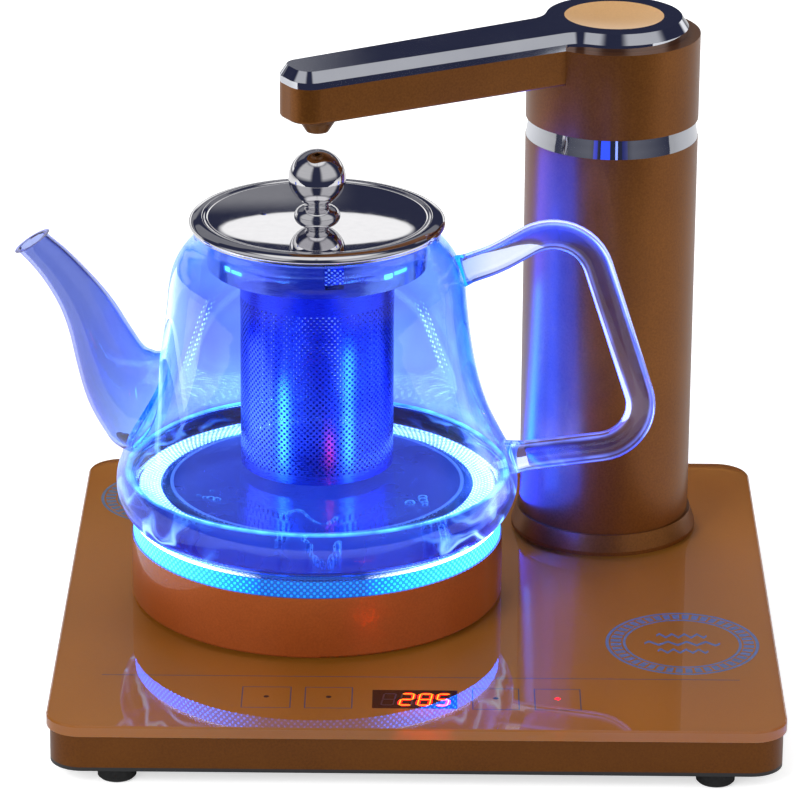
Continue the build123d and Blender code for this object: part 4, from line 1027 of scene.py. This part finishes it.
# ---- Floor, light and surroundings ----
def floor():
    """White studio floor: bright paper that keeps the shadow."""
    front, size, below = -0.36, 8.0, 0.0004
    nothing()
    bpy.ops.mesh.primitive_plane_add(size=size, location=(0, front + size / 2, -below))
    piece = settle(bpy.context.object)
    piece.name = "studio_floor"
    made, tree, shader = start("white_paper", Roughness=0.9, Emission_Color="#ffffff")
    give(shader, Base_Color=add(tree, "Mix.RGBA", grain(tree, 20), "#e6e6e6", "#ededed"))
    path = add(tree, "LightPath").node.outputs
    seen = add(tree, "Math.MAXIMUM", path["Is Camera Ray"], path["Is Transmission Ray"])
    give(shader, Emission_Strength=add(tree, "Math.MULTIPLY", seen, 0.6))
    piece.data.materials.append(made)


screens = (  # turn from behind, both ends; height in degrees, both ends; soft edge; brightness
    (92, 160, 3, 60, 9, 0.5), (-156, -88, 3, 60, 9, 0.5), (-180, 180, 62, 95, 6, 0.8),
    (-60, 60, 1, 9.5, 2.5, 1.0), (-60, -1.25, 13, 17.9, 0.8, 0.2), (-50, 50, 22.2, 42, 0.7, 0.16),
)
halo_turn, halo_rise, halo_half_wide, halo_half_high = -1.3, 19.72, 1.95, 1.32  # what the lid mirrors


def surroundings():
    """White room with dark screens: softboxes behind, left and right are what polished pieces mirror."""
    world = bpy.data.worlds.new("studio")
    bpy.context.scene.world = world
    world.use_nodes = True
    tree = world.node_tree
    tree.nodes.clear()
    way = add(tree, "SeparateXYZ", add(tree, "TexCoord", out="Generated")).node.outputs
    turn = add(tree, "Math.DEGREES", add(tree, "Math.ARCTAN2", way[0], way[1]))
    rise = add(tree, "Math.DEGREES", add(tree, "Math.ARCSINE", way[2]))
    aside = add(tree, "Math.DIVIDE", add(tree, "Math.SUBTRACT", turn, halo_turn), halo_half_wide)
    above = add(tree, "Math.DIVIDE", add(tree, "Math.SUBTRACT", rise, halo_rise), halo_half_high)
    reach = add(tree, "VectorMath.LENGTH", add(tree, "CombineXYZ", aside, above))
    bright = add(tree, "MapRange", reach, 0.97, 1.03, 1.0, 0.0)
    for left, right, low, high, soft, strength in screens:
        aside, above = band(tree, turn, left, right, soft), band(tree, rise, low, high, soft)
        bright = add(tree, "Math.MAXIMUM", bright, add(tree, "Math.MULTIPLY", aside, above, strength))
    mirrored = add(tree, "Mix.RGBA", bright, "#2c2f44", "#ffffff")
    beyond = add(tree, "Mix.RGBA", add(tree, "MapRange", way[1], -0.1, 0.25), "#5460c8", "#ffffff")
    beyond = add(tree, "Mix.RGBA", band(tree, way[2], 0.14, 0.62, 0.05), beyond, "#4c4678")
    path = add(tree, "LightPath").node.outputs
    shown = add(tree, "Background", "#ffffff", 0.5)
    for ray, tone in (
        ("Is Glossy Ray", mirrored), ("Is Transmission Ray", beyond), ("Is Camera Ray", "#ffffff"),
    ):
        shown = add(tree, "MixShader", path[ray], shown, add(tree, "Background", tone, 1.0))
    add(tree, "OutputWorld", shown)


def lamp(name, place, aim, size, power, tone="#ffffff", mirrored=True):
    """Rectangular lamp, in millimetres, aimed at a point."""
    light = bpy.data.lights.new(name, "AREA")
    light.shape = "RECTANGLE"
    light.size, light.size_y = size[0] * MM, size[1] * MM
    light.energy = power
    light.color = colour(tone)[:3]
    made = link(name, light)
    turned = (Vector(aim) - Vector(place)).to_track_quat("-Z", "Y").to_matrix().to_4x4()
    made.matrix_world = Matrix.Translation(Vector(place) * MM) @ turned
    made.visible_camera = made.visible_transmission = False
    made.visible_glossy = mirrored
    return made


def kettle_lamps():
    """Lamps that stand in for the ring's blue light, which the glass and the water spread. The basket and its
    collar mirror the first ones: a deep blue front with two cyan streaks, a red spot from the indicator and
    glints under the lid. The others light the plate and the column. All of them ride on the kettle."""
    for name, turn, reach, height, size, power, tone in (
        ("basket_streak_left", -37, 58, 69, (10, 38), 0.036, "#5cb8ff"),
        ("basket_streak_right", 37, 58, 74, (10, 56), 0.044, "#5cb8ff"),
        ("basket_front", 0, 52, 96, (70, 84), 0.004, "#0420ff"),
        ("basket_left", -75, 60, 96, (50, 84), 0.09, "#8c98ff"),
        ("basket_right", 75, 60, 96, (50, 84), 0.05, "#2450ff"),
        ("indicator", 15, 56, 62, (4, 10), 0.005, "#ff2010"),
        ("collar_glint_left", -57, 46.6, 143.6, (4, 2.2), 0.0003, "#4cb0ff"),
        ("collar_shine_left", -49, 46.6, 143.4, (7, 1.6), 0.0004, "#3c9cff"),
        ("collar_glint_right", 44, 46.6, 143.4, (5, 2.2), 0.0004, "#4cb0ff"),
        ("collar_shine_right", 54, 46.6, 143.8, (9, 1.8), 0.0005, "#3c9cff"),
    ):
        way = toward(turn)
        place = Vector((kettle.x, kettle.y, glass_top + height)) + way * reach
        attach(lamp(name, place, place - way * 10, size, power, tone), "kettle")
    low = Vector((kettle.x, kettle.y, glass_top + 44))
    high = low + Vector((0, 0, 8))
    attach(lamp("plate_lamp", high, low, (110, 110), 0.08, "#3a66ff", mirrored=False), "kettle")
    ring_level = level("chrome_ring", 0) - 8
    for name, aside, wide, power, tone in (
        ("ring_glow", -14, 18, 0.0032, "#2c50ff"), ("ring_glow_left", -34, 8, 0.0009, "#1c2cd0"),
        ("ring_glow_right", 6, 5, 0.0011, "#8ea4ff"), ("ring_glow_far", 22, 14, 0.0008, "#1a2490"),
    ):
        place = Vector((column.x + aside, column.y - 96, ring_level))
        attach(lamp(name, place, place + Vector((45, 89, 0)), (wide, 40), power, tone), "kettle")
    for name, north, height, size, power, tone in (
        ("column_lamp", 38, 86, (64, 150), 0.62, "#0a30ff"),
        ("column_streak", 40, 78, (12, 120), 0.07, "#1038ff"),
        ("column_streak_back", 62, 66, (7, 76), 0.05, "#0a70ff"),
        ("column_streak_front", 14, 54, (8, 50), 0.06, "#2838ff"),
    ):
        place = Vector((kettle.x + 71, kettle.y + north, glass_top + height))
        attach(lamp(name, place, place + Vector((40, 4, 8)), size, power, tone), "kettle")


floor()
surroundings()
lamp("key_lamp", (-1000, -1500, 1000), (0, 0, 80), (900, 900), 28, mirrored=False)
lamp("fill_lamp", (1400, -700, 900), (60, 20, 100), (500, 900), 7, mirrored=False)
lamp("back_lamp", (-300, 1500, 1300), (0, 0, 100), (900, 500), 12, mirrored=False)
kettle_lamps()
